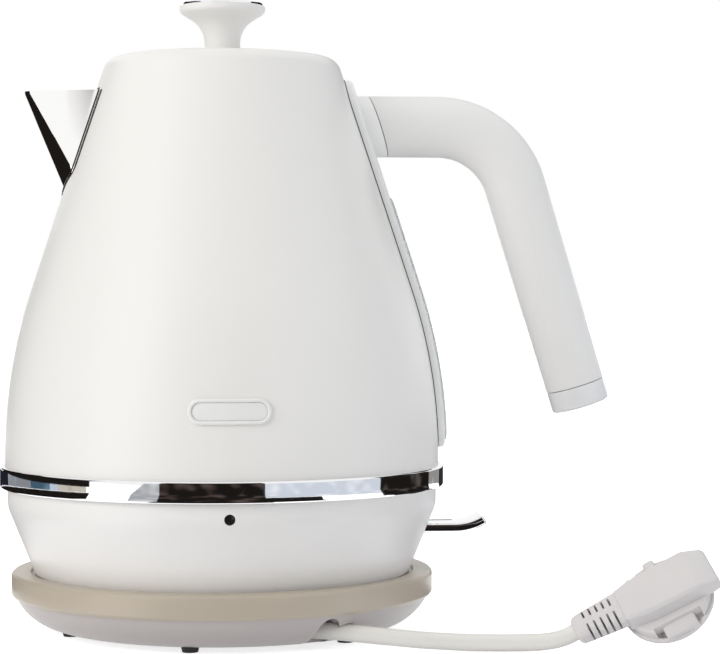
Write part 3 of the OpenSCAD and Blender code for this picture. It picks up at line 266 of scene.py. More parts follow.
def blocks(name, boxes, finish, place=UNMOVED):
    """Mesh of several separate boxes, each from a low and a high corner."""
    points, faces = [], []
    for low, high in boxes:
        faces += [tuple(len(points) + i for i in face) for face in BLOCK_FACES]
        points += [(x, y, z) for x in (low[0], high[0]) for y in (low[1], high[1]) for z in (low[2], high[2])]
    return mesh_piece(name, points, faces, finish, place=place)


def round_box(x, half_w, low, high, corner, n=6):
    """Ring of points of a rounded rectangle across the X axis."""
    ring = []
    for a0, cy, cz in ((0, 1, 1), (90, -1, 1), (180, -1, -1), (270, 1, -1)):
        mid_y, mid_z = cy * (half_w - corner), (high - corner if cz > 0 else low + corner)
        for k in range(n + 1):
            a = radians(a0 + 90 * k / n)
            ring.append(Vector((x, mid_y + corner * cos(a), mid_z + corner * sin(a))))
    return ring


def loft(name, rings, finish, place):
    """Skin over rings with equal numbers of points, closed at both ends."""
    points = [p for ring in rings for p in ring]
    return mesh_piece(name, points, closed_skin(len(rings), len(rings[0])), finish, place=place)


plug_pvc = finish_of(
    "plug_pvc", (0.68, 0.655, 0.645), (0.65, 0.625, 0.62), 0.36, 0.48, drift=50, grain=800, relief=0.1)
relief_rings = [round_box(x, half_w, -half_h, half_h, corner) for x, half_w, half_h, corner in (
    (0.0, 3.4, 3.2, 3.0), (0.5, 4.3, 3.6, 2.8), (nose_len, 5.1, relief_half_h, relief_corner))]
for k in range(1, 9):
    t = k / 8
    relief_rings.append(round_box(
        between(nose_len, relief_len, t), between(relief_half_w, grip_half_w, t), -relief_half_h,
        between(relief_half_h, grip_top, t), relief_corner - corner_loss * t))
relief = loft("cord_relief", relief_rings, plug_pvc, plug_frame)
slots = []
for i in range(1, slot_count + 1):
    x = relief_len - i * slot_pitch - slot_from
    slots.append(((x, -tool_past, slot_near_low), (x + slot_w, -rib_w / 2, tool_past)))
    slots.append(((x, rib_w / 2, slot_far_low), (x + slot_w, slot_far_end, tool_past)))
carve(relief, blocks("slot_tool", slots, plug_pvc, plug_frame))
soft_edges(relief, 0.12, 2)
dress(relief, plug_pvc)
fixed(relief, "power_base", "plug_white", "plug_relief")

# Plug: one white PVC moulding with a flat grip that leads the cord off to the side, and a round
# flange with an insert, guide blocks and a key. Two round pins and two side clips stand in it.
plug_mid_x, plug_face_z, plug_face_r = relief_len + 16.7, -10.6, 17.8
flange_t, insert_r, insert_low, insert_h = 2.0, 16.8, 0.3, 6.4
guide_len, guide_depth, guide_room, guide_low, guide_h = 13.0, 5.0, 3.0, 0.4, 4.6
guide_near, guide_far, key_half_w, side_past = -17.1, 15.6, 2.3, 24.0
grip_low, grip_corner = -6.5, 1.5


def lathe(name, outline, finish, steps=192, place=UNMOVED):
    """Turned piece: an outline of (radius, height) points spun round the Z axis."""
    points, faces, rows = [], [], []
    turns = [2 * pi * k / steps for k in range(steps)]
    for r, z in outline:
        if r < 1e-6:
            rows.append([len(points)] * steps)
            points.append((0, 0, z))
        else:
            rows.append(list(range(len(points), len(points) + steps)))
            points += [(r * cos(a), r * sin(a), z) for a in turns]
    for low, high in zip(rows, rows[1:] + rows[:1]):
        for k in range(steps):
            n = (k + 1) % steps
            corners = tuple(dict.fromkeys((low[k], low[n], high[n], high[k])))
            if len(corners) > 2:
                faces.append(corners)
    return mesh_piece(name, points, faces, finish, place=place)


def eased(corners, n=5):
    """Outline with rounded corners. Each corner is (radius, height, rounding)."""
    line = []
    for i, (r, z, ease) in enumerate(corners):
        here = Vector((r, z))
        if not ease:
            line.append((r, z))
            continue
        before = (Vector(corners[i - 1][:2]) - here).normalized()
        after = (Vector(corners[(i + 1) % len(corners)][:2]) - here).normalized()
        half = before.angle(after) / 2
        run = ease / tan(half)
        mid = here + (before + after).normalized() * (ease / sin(half))
        start, end = here + before * run - mid, here + after * run - mid
        swing = start.angle_signed(end)
        for k in range(n + 1):
            spun = Matrix.Rotation(-swing * k / n, 2) @ start
            line.append(tuple(mid + spun))
    return line


def from_work(name, work):
    made = plain_mesh(name, [], [])
    work.to_mesh(made.data)
    work.free()
    return made


def joined(name, pieces, finish, sharp=32):
    """One object from several closed pieces."""
    work = bmesh.new()
    for made in pieces:
        work.from_mesh(made.data)
        bpy.data.objects.remove(made)
    return dress(from_work(name, work), finish, sharp)


grip_rings = []
for x, half_w, high, inset in (
        (0, 7.0, grip_top, 0.2), (0.6, grip_half_w, grip_top, 0), (3, 7.6, 2.75, 0), (6, 8.3, 2.8, 0),
        (9, 8.75, 2.8, 0), (12, 8.95, 2.8, 0), (20, 9.1, 2.8, 0), (28.9, 9.2, 2.75, 0), (29.5, 9.2, 2.6, 0),
        (30.1, 9.15, 2.3, 0), (33, 8.9, 0.85, 0), (36, 8.5, -0.7, 0), (36.8, 8.3, -1.2, 0.25),
        (37.2, 8.2, -1.5, 0.8)):
    grip_rings.append(round_box(relief_len + x, half_w - inset, grip_low + inset, high - inset,
                                grip_corner - corner_loss * inset))
grip = loft("plug_grip", grip_rings, plug_pvc, plug_frame)
face_frame = plug_frame @ Matrix.Translation((plug_mid_x, 0, plug_face_z))
flange = lathe("flange", eased([
    (0, 0, 0), (plug_face_r, 0, 0.5), (plug_face_r, flange_t, 0.5), (0, flange_t, 0)]),
    plug_pvc, 96, place=face_frame)
insert = lathe("insert", eased([
    (0, insert_low, 0), (insert_r, insert_low, 0.3), (insert_r, insert_h, 0.8), (0, insert_h, 0)]),
    plug_pvc, 96, place=face_frame)
bite, half_cut = insert_r - guide_depth, guide_len / 2 + guide_room
carve(insert, blocks("side_tool", [
    ((-half_cut, -side_past, flange_t), (half_cut, -bite, tool_past)),
    ((-half_cut, bite, flange_t), (half_cut, side_past, tool_past))], plug_pvc, face_frame))
guides = blocks("guides", [
    ((-guide_len / 2, guide_near, guide_low), (guide_len / 2, guide_far, guide_h)),
    ((-key_half_w, 0, guide_low), (key_half_w, insert_r, insert_h))], plug_pvc, face_frame)
soft_edges(guides, 1.1, 4)
soft_edges(insert, 0.25, 2)
plug = joined("mains_plug", [grip, flange, insert, guides], plug_pvc, 24)
fixed(plug, "power_base", "plug_white", "plug_body")


def paint_nodes(finish, *names):
    """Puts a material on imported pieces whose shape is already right."""
    for name in names:
        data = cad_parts[name].data
        data.materials.clear()
        data.materials.append(finish)


paint_nodes(finish_of(
    "pin_nickel", (0.66, 0.65, 0.62), (0.56, 0.55, 0.53), 0.16, 0.3,
    drift=200, grain=1500, Metallic=1.0), "plug_pins", "plug_earth_clips")

# Inside of the power base: black tower with its brass contacts and loose ring, the cord's clamp, the
# three leads, steel screws, and six black rubber feet pressed into the dish. The kettle's own small
# black, brass, steel and pale parts share these finishes.
foot_rubber = finish_of(
    "foot_rubber", (0.022, 0.021, 0.02), (0.014, 0.014, 0.014), 0.6, 0.78, drift=300, relief=0.2)
paint_nodes(foot_rubber, "base_feet")
paint_nodes(finish_of(
    "black_insulation", (0.03, 0.029, 0.028), (0.02, 0.02, 0.02), 0.38, 0.52, drift=80, relief=0.1),
    "base_connector", "kettle_socket", "thermostat_controller", "switch_arm")
paint_nodes(finish_of(
    "contact_brass", (0.62, 0.44, 0.2), (0.5, 0.34, 0.15), 0.2, 0.36,
    drift=200, Metallic=1.0), "base_contacts", "coupler_contacts")
paint_nodes(finish_of(
    "screw_steel", (0.5, 0.5, 0.49), (0.38, 0.38, 0.37), 0.25, 0.42, drift=300, Metallic=1.0),
    "base_screws", "skirt_screws", "controller_screws", "lid_screw", "switch_pin", "handle_bracket")
paint_nodes(finish_of(
    "ring_plastic", (0.66, 0.64, 0.59), (0.6, 0.58, 0.54), 0.4, 0.5, drift=120, relief=0.1),
    "connector_shutter", "cord_clamp", "filter_frame")
paint_nodes(finish_of("lead_skin", (0.2, 0.28, 0.42), (0.24, 0.14, 0.08), 0.4, 0.5, drift=150), "base_leads")

# Dish of the power base: white moulded bowl that the feet are pressed into, with an arched way for
# the cord in its wall and a pocket behind it. It is screwed to the top plate from below.
dish_low, dish_high, dish_curve, dish_wall = 2.0, 14.4, 21.0, 2.2
plate_r, dish_step = 83.672, 1.6
dish_floor_r = plate_r - dish_step - sqrt(dish_curve ** 2 - (dish_curve - (dish_high - dish_low)) ** 2)
way = Matrix.Rotation(radians(-61.8), 4, "Z")
arch_r, arch_mid_z, arch_foot_z = 4.7, 8.6, -1.0
way_from, way_to, way_hole_r = 60.3, 92.0, 3.6
pocket_from, pocket_open, pocket_to, pocket_hole_r = 66.0, 67.5, 79.0, 3.4
pocket_wider, pocket_taller, pocket_low, pocket_inset, pocket_trim = 1.09, 1.08, 2.6, 0.15, 0.1


def bow(r, z, radius, a0, a1, n):
    """Arc of an outline about (r, z), from one angle to another in n steps."""
    angles = [a0 + (a1 - a0) * k / n for k in range(n + 1)]
    return [(r + radius * cos(a), z + radius * sin(a)) for a in angles]


def bowl(inset):
    """Points of the dish's side, from its floor up to its rim, moved inwards."""
    reach = acos((dish_curve - (dish_high - dish_low)) / (dish_curve - inset))
    return bow(dish_floor_r, dish_low + dish_curve, dish_curve - inset, -pi / 2, reach - pi / 2, 20)


# The dish's white is darkened to a warm grey here: painted shade, with a warm cast, for the shade under the
# top plate's edge.
base_white_painted_shade = finish_of(
    "base_white_painted_shade", (0.5, 0.465, 0.45), (0.475, 0.44, 0.425), 0.3, 0.42, drift=14, relief=0.06)
arch = [(arch_r, arch_foot_z)] + bow(0, arch_mid_z, arch_r, 0, pi, 24) + [(-arch_r, arch_foot_z)]
wide_arch = [(y * pocket_wider, max(pocket_low, arch_mid_z + (z - arch_mid_z) * pocket_taller))
             for y, z in arch]


def way_tool(name, outline, start, end):
    """The arch's outline drawn out along the cord's way through the wall."""
    rings = [[Vector((x, y, z)) for y, z in outline] for x in (start, end)]
    return loft(name, rings, base_white_painted_shade, way)


def cord_tool(r):
    """The cord from the clamp outwards, with a radius that leaves it room."""
    route = cord_line[8:]
    return sweep("cord_way_tool", route, [r] * len(route), 28, base_white_painted_shade)


dish = lathe("base_bowl", [(0, dish_low)] + bowl(0) + bowl(dish_wall)[::-1] + [(0, dish_low + dish_wall)],
             base_white_painted_shade)
carve(dish, way_tool("way_tool", arch, way_from, way_to))
carve(dish, cord_tool(way_hole_r))
dress(dish, base_white_painted_shade)
pocket = way_tool("cord_pocket", wide_arch, pocket_from, pocket_to)
carve(pocket, way_tool("way_tool", arch, pocket_open, way_to))
carve(pocket, lathe("bowl_tool", [(0, dish_low + pocket_trim)] + bowl(pocket_inset)
                    + [(0, dish_high - pocket_trim)], base_white_painted_shade), "INTERSECT")
carve(pocket, cord_tool(pocket_hole_r))
dish = joined("base_bowl", [dish, pocket], base_white_painted_shade)
fixed(dish, "power_base", "white_plastic", "base_dish")

# Top plate of the power base: greige moulding with a rounded upper edge, a small lower edge and a
# shallow well that the kettle's foot stands in. The tower comes up through its middle hole.
plate_low, plate_top, well_r, well_z, tower_hole = 14.4, 24.0, 75.672, 22.8, 16.65
plate_in_r, plate_under_z, foot_in, foot_h, well_slope = plate_r - 2.2, 20.6, 0.8, 1.1, 0.6
greige = finish_of(
    "greige_plastic", (0.5, 0.435, 0.35), (0.47, 0.41, 0.33), 0.26, 0.34, drift=12, grain=1000, relief=0.08)
plate = lathe("base_plate", eased([
    (plate_in_r, plate_low, 0.2), (plate_r - foot_in, plate_low, 0.3), (plate_r, plate_low + foot_h, 0.5),
    (plate_r, plate_top, 1.8), (well_r + well_slope, plate_top, 0.6), (well_r, well_z, 0.3),
    (tower_hole, well_z, 0.2), (tower_hole, plate_under_z, 0), (plate_in_r, plate_under_z, 0)]), greige)
fixed(plate, "power_base", "base_greige", "base_top_plate")

# Underside and heater of the kettle: white cover plate, alloy plate with its ring heater, steel floor
# of the vessel with a silicone bead, and the steel steam tube that leads down to the switch. The lid's
# liner and seal and the filter's mesh share these finishes.
# The cover plate takes the same white, darkened with painted shade.
paint_nodes(base_white_painted_shade, "bottom_cover")
paint_nodes(finish_of(
    "inner_steel", (0.6, 0.6, 0.6), (0.5, 0.5, 0.5), 0.2, 0.36,
    drift=40, grain=1200, relief=0.05, Metallic=1.0),
    "heating_plate", "steam_tube", "lid_liner", "filter_mesh")
paint_nodes(finish_of(
    "cast_alloy", (0.5, 0.51, 0.52), (0.4, 0.41, 0.42), 0.4, 0.6,
    drift=60, relief=0.15, Metallic=1.0), "heat_diffuser", "heating_element")
paint_nodes(finish_of(
    "silicone", (0.6, 0.6, 0.57), (0.55, 0.55, 0.53), 0.45, 0.6, drift=80, relief=0.1),
    "vessel_seal", "lid_seal")

# Skirt: white moulded ring under the bright band, leaning in towards its foot, with a neck that the
# band sits on, a slot at the back for the switch lever and a small round hole at the front for the lens.
skirt_r, skirt_low, skirt_top, skirt_foot_r, skirt_wall = 85.2, 23.1, 57.5, 74.372, 2.0
knee_z, lean = 49.9, radians(22)
neck_r, neck_in_r, neck_h, neck_root = 81.0, 79.0, 4.5, 2.0
lever_z, lever_t, lever_w, pivot_x, lever_swing = 39.7, 3.6, 18.0, 71.079, radians(14)
lever_room_w, lever_room_h, lever_slot_len = 0.4, 0.8, 30.0
lens_z, lens_r, lens_room, lens_hole_from, lens_hole_to = 51.6, 2.0, 0.05, 60.0, 95.0
skirt_white = finish_of(
    "skirt_white", (0.83, 0.815, 0.795), (0.81, 0.795, 0.775), 0.32, 0.42, drift=9, grain=1100, relief=0.05)
slant, skirt_in_r = skirt_wall / cos(lean), skirt_r - skirt_wall
skirt = lathe("kettle_skirt", eased([
    (skirt_foot_r - slant, skirt_low, 0.2), (skirt_foot_r, skirt_low, 0.7), (skirt_r, knee_z, 12),
    (skirt_r, skirt_top, 0.4), (neck_r, skirt_top, 0), (neck_r, skirt_top + neck_h, 0.2),
    (neck_in_r, skirt_top + neck_h, 0.2), (neck_in_r, skirt_top - neck_root, 0),
    (skirt_in_r, skirt_top - neck_root, 0), (skirt_in_r, knee_z + 0.4, 10)], n=10), skirt_white)
skirt_at_lever = skirt_r - (knee_z - lever_z) * tan(lean)
dip = (skirt_at_lever + slant - pivot_x) * sin(lever_swing)
carve(skirt, blocks("slot_tool", [
    ((pivot_x, -lever_w / 2 - lever_room_w, lever_z - lever_t / 2 - dip - lever_room_h),
     (pivot_x + lever_slot_len, lever_w / 2 + lever_room_w, lever_z + lever_t / 2 + lever_room_h))],
    skirt_white))
front = Matrix.Translation((0, 0, lens_z)) @ Matrix.Rotation(radians(90), 4, "X")
carve(skirt, lathe("lens_tool", [
    (0, lens_hole_from), (lens_r + lens_room, lens_hole_from), (lens_r + lens_room, lens_hole_to),
    (0, lens_hole_to)], skirt_white, 64, place=front))
dress(skirt, skirt_white)
fixed(skirt, "kettle", "white_plastic", "lower_skirt")

# Indicator: dark moulded lens, a little domed, pressed into the skirt's hole from inside.
# The red lamp that shines through it when the kettle heats sits behind it.
lens_in, lens_edge, lens_tip = 81.0, 84.3, 84.95
lens_dark = finish_of("lens_dark", (0.016, 0.014, 0.015), (0.01, 0.009, 0.01), 0.12, 0.22, drift=400)
lens = lathe("lamp_lens", eased([(0, lens_in, 0), (lens_r, lens_in, 0), (lens_r, lens_edge, 0.4),
                                 (0, lens_tip, 0)]), lens_dark, 64, place=front)
fixed(lens, "kettle", "lens_dark", "indicator_lens")
lamp_red = finish_of("lamp_red", (0.5, 0.1, 0.05), (0.42, 0.08, 0.04), 0.2, 0.3, drift=300)
paint_nodes(lamp_red, "indicator_lamp")

# Bright band: chromed ring between skirt and body, with finely rounded edges. It sits on the
# skirt's neck, and the body stands in its inner step.
band_r, band_low, band_high, band_in_r, step_r, step_z = 88.15, 57.5, 65.8, 81.1, 86.15, 59.2
chrome = finish_of(
    "chrome", (0.9, 0.905, 0.915), (0.87, 0.875, 0.885), 0.025, 0.05, drift=30, grain=600, Metallic=1.0)
band = lathe("bright_band", eased([
    (band_in_r, band_low, 0), (band_r, band_low, 0.9), (band_r, band_high, 0.9), (step_r, band_high, 0.15),
    (step_r, step_z, 0), (band_in_r, step_z, 0)], n=8), chrome, 256)
fixed(band, "kettle", "chrome", "chrome_band")

# Body: deep-drawn steel with a satin white finish, the same inside and outside. The flank runs from the
# belly in one long curve into a straight cone, a rounded shoulder, and a mouth with a ledge for the lid.
belly_r, belly_z, flank_r, flank_lean = 86.1, 70.0, 208.0, radians(18)
shoulder_z, shoulder_r, shell_t, lip_r = 227.3, 6.7, 1.2, 1.0
flank_end_r = belly_r - flank_r * (1 - cos(flank_lean))
flank_end_z = belly_z + flank_r * sin(flank_lean)
shoulder_mid_z = shoulder_z - shoulder_r
cone_len = (shoulder_mid_z - flank_end_z + shoulder_r * sin(flank_lean)) / cos(flank_lean)
shoulder_mid_r = flank_end_r - shoulder_r * cos(flank_lean) - cone_len * sin(flank_lean)
mouth_r, ledge_z = shoulder_mid_r - 2.3, shoulder_z - 3.3
throat_r, throat_low = mouth_r - 2.4, ledge_z - 6.5


def flank(out):
    """Outline of the body from belly to shoulder, moved outwards."""
    return (bow(belly_r - flank_r, belly_z, flank_r + out, 0, flank_lean, 48)
            + bow(shoulder_mid_r, shoulder_mid_z, shoulder_r + out, flank_lean, pi / 2, 18))


def body_radius(z, out=0.0):
    """Radius of the body at a height, moved outwards."""
    if z < belly_z:
        return belly_r + out
    if z < belly_z + (flank_r + out) * sin(flank_lean):
        return belly_r - flank_r + sqrt((flank_r + out) ** 2 - (z - belly_z) ** 2)
    return flank_end_r + out / cos(flank_lean) - (z - flank_end_z) * tan(flank_lean)


body_white = finish_of("body_white", (0.845, 0.83, 0.8), (0.825, 0.81, 0.78), 0.34, 0.42,
                       drift=7, grain=1400, relief=0.05, Coat_Weight=0.25, Coat_Roughness=0.3)
lip = bow(mouth_r + lip_r, shoulder_z - lip_r, lip_r, pi / 2, pi, 6)
seat = [(mouth_r, ledge_z), (throat_r, ledge_z), (throat_r, throat_low), (throat_r + shell_t, throat_low),
        (throat_r + shell_t, ledge_z - shell_t), (mouth_r + shell_t, ledge_z - shell_t),
        (mouth_r + shell_t, shoulder_z - shell_t)]
shell = lathe("kettle_body", [(belly_r, step_z)] + flank(0) + lip + seat + flank(-shell_t)[::-1]
              + [(belly_r - shell_t, step_z)], body_white, 256)

# Spout: beak of polished steel, folded from sheet with a rounded ridge and rounded lower corners, open
# at its top and welded into the body's wall. The body's own openings are cut here too: the one behind
# the spout, and the slit behind the water gauge.
spout_top, spout_h, ridge_r, tip_r, spout_t, rim_h = 213.5, 38.5, 3.2, 4.3, 1.0, 1.0
spout_reach, side_in, side_y, side_r = 28.0, 10.0, 15.3, 1.2
corner_r, corner_up, corner_in, corner_y = 7.0, 9.0, 3.6, 14.0
gauge_slit = ((40, -3, 82.2), (100, 3, 164.2))
core_low, core_gap = 60.0, 0.05
spout_foot = spout_top - spout_h
spout_tip_x = body_radius(spout_top) + spout_reach
ridge_lean = atan((spout_tip_x - body_radius(spout_foot)) / spout_h)
corner_z = spout_foot + corner_up


def ball(mid, r, n=40):
    around, over = [2 * pi * k / n for k in range(n)], [pi * j / (n // 2) for j in range(n // 2 + 1)]
    return [Vector(mid) + r * Vector((cos(a) * sin(b), sin(a) * sin(b), cos(b)))
            for a in around for b in over]


def disc(mid, r, n=64):
    around = [2 * pi * k / n for k in range(n)]
    return [Vector(mid) + r * Vector((cos(a), sin(a), 0)) for a in around]


def beak(name, inset, up):
    """Closed form of the spout, moved inwards, and longer at its top."""
    foot_x = body_radius(spout_foot) - ridge_r * cos(ridge_lean)
    points = ball((-foot_x, 0, spout_foot + ridge_r * sin(ridge_lean)), ridge_r - inset)
    for z in (spout_top - rim_h, spout_top + up):
        points += disc((tip_r - spout_tip_x, 0, z), tip_r - inset)
        for side in (-1, 1):
            points += disc((side_in - body_radius(spout_top), side * side_y, z), side_r - inset)
    for side in (-1, 1):
        points += ball((corner_in - body_radius(corner_z), side * (corner_y - corner_r), corner_z),
                       corner_r - inset)
    work = bmesh.new()
    for p in points:
        work.verts.new(p * MM)
    found = bmesh.ops.convex_hull(work, input=work.verts)
    loose = set(found["geom_interior"]) | set(found["geom_unused"])
    bmesh.ops.delete(work, geom=[v for v in loose if isinstance(v, bmesh.types.BMVert)], context="VERTS")
    return from_work(name, work)


def body_core(out):
    """The body as one closed form, moved outwards, for cutting pieces to its side."""
    outline = [(0, core_low), (belly_r + out, core_low)] + flank(out) + [(0, shoulder_z + out)]
    return lathe("core_tool", outline, body_white, 256)


polished = finish_of("polished_steel", (0.97, 0.965, 0.955), (0.94, 0.935, 0.925), 0.03, 0.06,
                     drift=40, grain=500, Metallic=1.0)
spout = beak("beak_spout", 0, 0)
planes = [(f.normal.copy(), f.normal.dot(spout.data.vertices[f.vertices[0]].co)) for f in spout.data.polygons]
carve(spout, beak("hollow_tool", spout_t, spout_t))
carve(spout, body_core(core_gap))
dress(spout, polished, 24)
fixed(spout, "kettle", "polished_steel", "spout")
carve(shell, beak("mouth_tool", spout_t, spout_t))
carve(shell, blocks("gauge_tool", [gauge_slit], body_white))
dress(shell, body_white)
fixed(shell, "kettle", "body_paint", "upper_shell")

# Weld of the spout: where the beak meets the body, a dark line of painted shade in the joint itself, a bright
# ground bead beside it on the body, and a thin dark line of painted shade where the ground strip ends in the
# paint.
weld_low, weld_high, weld_ease, weld_widest = spout_foot + 0.3, spout_top - 0.2, 1.6, 22.0
joint_out, bead_out, ridge_half = 0.1, 0.12, 4.0
# Dark finish of the painted shade along the joint.
weld_painted_shade = finish_of(
    "weld_painted_shade", (0.03, 0.026, 0.022), (0.016, 0.014, 0.012), 0.3, 0.5, drift=300, relief=0.3)


def in_beak(p):
    return all(n.dot(p * MM) <= far + 1e-9 for n, far in planes)


def weld_half(z):
    """Half width of the beak where it meets the body at a height."""
    low, high, r = 0.0, weld_widest, body_radius(z, joint_out)
    for _ in range(30):
        y = (low + high) / 2
        low, high = (y, high) if in_beak(Vector((-sqrt(r * r - y * y), y, z))) else (low, y)
    return low


weld_heights = [between(weld_low, weld_high, (k / 40) ** weld_ease) for k in range(41)]
weld_side = [(weld_half(z), z) for z in weld_heights]


def weld_run(name, off, r, finish):
    """Bead along the joint, at a distance from it along the body."""
    half = []
    for y, z in weld_side:
        part = min(1.0, y / ridge_half)
        y, z = y + off * part, z - off * (1 - part)
        half.append((-sqrt(body_radius(z, bead_out) ** 2 - y * y), y, z))
    line = [(x, -y, z) for x, y, z in half[:0:-1]] + half
    fixed(sweep(name, line, [r] * len(line), 12, finish), "kettle", "polished_steel")


# The root and the edge are dark rods of painted shade laid along the joint.
weld_run("spout_joint_painted_shade", 0.0, 0.55, weld_painted_shade)
weld_run("spout_weld_bead", 1.8, 0.5, polished)
weld_run("spout_strip_edge_painted_shade", 3.4, 0.26, weld_painted_shade)

# Strip down the back: white moulding that follows the body, with round ends, clipped over the bracket's
# plate. It carries the clear window of the water gauge, and a thin dark ring of painted shade round its edge
# stands for the gap.
back_azimuth, front_azimuth = 0, -90
spine_low, spine_high, spine_half, spine_proud, spine_edge = 71.7, 219.0, 13.0, 3.0, 1.3
shade_ring_w, shade_ring_loops = 0.25, [(0, 0.02), (0, 0.3), (0.6, 0.3), (0.6, 0.02)]
spine_mid, spine_half_len = (spine_low + spine_high) / 2, (spine_high - spine_low) / 2


def on_body(across, z, out, azimuth):
    """Point on the body's side, at a distance across from the azimuth's middle line."""
    r = body_radius(z, out)
    x, y = sqrt(r * r - across * across), across
    a = radians(azimuth)
    return Vector((x * cos(a) - y * sin(a), x * sin(a) + y * cos(a), z))


def pill(name, azimuth, mid_z, half_len, half_w, upright, loops, finish, ring_only=False, n=40, stops=24):
    """Pill-shaped piece on the body. Each loop is (inset from the pill's edge, height off the body)."""
    ring, points = [], []
    for end in (1, -1):
        c = end * (half_len - half_w)
        for k in range(n + 1):
            a = radians(-90 + 180 * k / n) + (0 if end > 0 else pi)
            ring.append((c, cos(a), sin(a)))
        ring += [(c - 2 * c * s / stops, cos(a), sin(a)) for s in range(1, stops)]
    for inset, out in loops:
        w = half_w - inset
        for c, u, v in ring:
            along, over = c + w * u, w * v
            z, across = (mid_z + along, over) if upright else (mid_z + over, along)
            points.append(on_body(across, z, out, azimuth))
    pairs = list(zip(range(len(loops)), range(1, len(loops)))) + [(len(loops) - 1, 0)] * ring_only
    return mesh_piece(name, points, skin_faces(pairs, len(ring)), finish, 30)


def rounded_loops(half_w, proud, edge, crown=0.0):
    """Loops of a pill with a rounded edge, from its foot on the body to its middle line."""
    loops = [(0, 0.05), (0, proud - edge)]
    for k in range(1, 7):
        a = radians(15 * k)
        loops.append((edge * (1 - cos(a)), proud - edge + edge * sin(a)))
    for t in (0.3, 0.55, 0.8, 1.0):
        inset = edge + (half_w - edge) * t
        loops.append((min(inset, half_w - 0.001), proud + crown * (1 - (1 - t) ** 2)))
    return loops


spine_white = finish_of(
    "spine_white", (0.92, 0.915, 0.9), (0.9, 0.895, 0.88), 0.36, 0.46, drift=12, grain=1000, relief=0.06)
spine = pill("back_strip", back_azimuth, spine_mid, spine_half_len, spine_half, True,
             rounded_loops(spine_half, spine_proud, spine_edge), spine_white)
fixed(spine, "kettle", "white_plastic", "spine_panel")
# Painted shade: a thin black ring in the rubber feet's finish, round the strip where it meets the body.
strip_shade_ring = pill("strip_painted_shade_ring", back_azimuth, spine_mid, spine_half_len + shade_ring_w, spine_half + shade_ring_w, True,
              shade_ring_loops, foot_rubber, ring_only=True)
fixed(strip_shade_ring, "kettle", "foot_rubber")

# Gauge window: clear moulded pill let into the strip, a little prouder than it, so that the water
# behind the body's slit can be read from the back.
gauge_low, gauge_half_len, gauge_half_w, gauge_proud, gauge_edge = 74.2, 49, 8.5, 3.8, 0.9
window_clear = finish_of("window_clear", (0.86, 0.88, 0.89), (0.8, 0.83, 0.85), 0.05, 0.12,
                         drift=30, IOR=1.49, Transmission_Weight=0.6)
window = pill("gauge_pane", back_azimuth, gauge_low + gauge_half_len, gauge_half_len, gauge_half_w, True,
              rounded_loops(gauge_half_w, gauge_proud, gauge_edge), window_clear)
fixed(window, "kettle", "clear_window", "gauge_window")

# Handle: wedge-shaped collar against the strip, then a round grip of soft-touch plastic that runs level,
# bends down and ends in a cap. A steel bracket inside holds it to the body.
handle_z, grip_r, grip_end_r, bend_r, grip_lean = 200.5, 12.2, 11.7, 33.0, radians(17)
handle_reach, handle_drop, level_from, level_to, level_step = 56.5, 117.4, 50, 80, 6
grip_seat, seat_gap, collar_sink, seat_deep, seat_wide = 7.3, 0.35, 0.3, 90.0, 40.0
cap_len, cap_edge, cap_gap, plug_in_r, plug_in_len, seam_in = 8.8, 1.4, 0.25, 8.9, 6.9, 0.05
turn = pi / 2 - grip_lean
bend_run = bend_r * tan(turn / 2)
bend_x, bend_z = body_radius(handle_z) + handle_reach - bend_run, handle_z - bend_r
lower_len = handle_drop - bend_run
straight = lower_len - cap_len
soft_white = finish_of("soft_touch_white", (0.83, 0.82, 0.8), (0.805, 0.795, 0.775), 0.42, 0.52,
                       drift=10, grain=1600, relief=0.07)
axis = [(x, 0, handle_z) for x in range(level_from, level_to + 1, level_step)]
axis += [(x, 0, z) for x, z in bow(bend_x, bend_z, bend_r, pi / 2, pi / 2 - turn, 28)]
radii = [grip_r] * len(axis)
low_start, down = Vector(axis[-1]), Vector((sin(grip_lean), 0, -cos(grip_lean)))
for k in range(1, 13):
    axis.append(tuple(low_start + down * straight * k / 12))
    radii.append(grip_r + (grip_end_r - grip_r) * straight * k / 12 / lower_len)
seat_frame = Matrix.Translation((body_radius(handle_z), 0, handle_z)) @ Matrix.Rotation(-flank_lean, 4, "Y")


def seat_tool(start, end):
    """Block across the handle's root, between two distances from the body."""
    box = ((start, -seat_wide, -seat_wide), (end, seat_wide, seat_wide))
    return blocks("seat_tool", [box], soft_white, seat_frame)


grip_tube = sweep("handle_grip_tube", axis, radii, 72, soft_white)
carve(grip_tube, seat_tool(-seat_deep, grip_seat + seat_gap))
soft_edges(grip_tube, 0.35, 3, 50)
dress(grip_tube, soft_white)
fixed(grip_tube, "kettle", "grip_white", "handle_grip")
collar = sweep("handle_collar", [(x, 0, handle_z) for x in (50, 60, 90)], [grip_r] * 3, 72, soft_white)
carve(collar, seat_tool(grip_seat, seat_deep))
carve(collar, body_core(spine_proud - collar_sink))
soft_edges(collar, 0.3, 3, 50)
dress(collar, spine_white)
fixed(collar, "kettle", "grip_white", "handle_root_collar")
cap_white = finish_of("cap_white", (0.8, 0.8, 0.795), (0.775, 0.775, 0.77), 0.2, 0.28, drift=20, grain=1200)
cap_frame = Matrix.Translation(Vector(axis[-1])) @ Matrix.Rotation(pi - grip_lean, 4, "Y")
end_cap = lathe("handle_cap", eased([
    (0, -plug_in_len, 0), (plug_in_r, -plug_in_len, 0.3), (plug_in_r, cap_gap, 0),
    (radii[-1] - seam_in, cap_gap, 0.3), (grip_end_r, cap_len, cap_edge), (0, cap_len, 0)]),
    cap_white, 96, place=cap_frame)
fixed(end_cap, "kettle", "cap_white", "handle_end_cap")

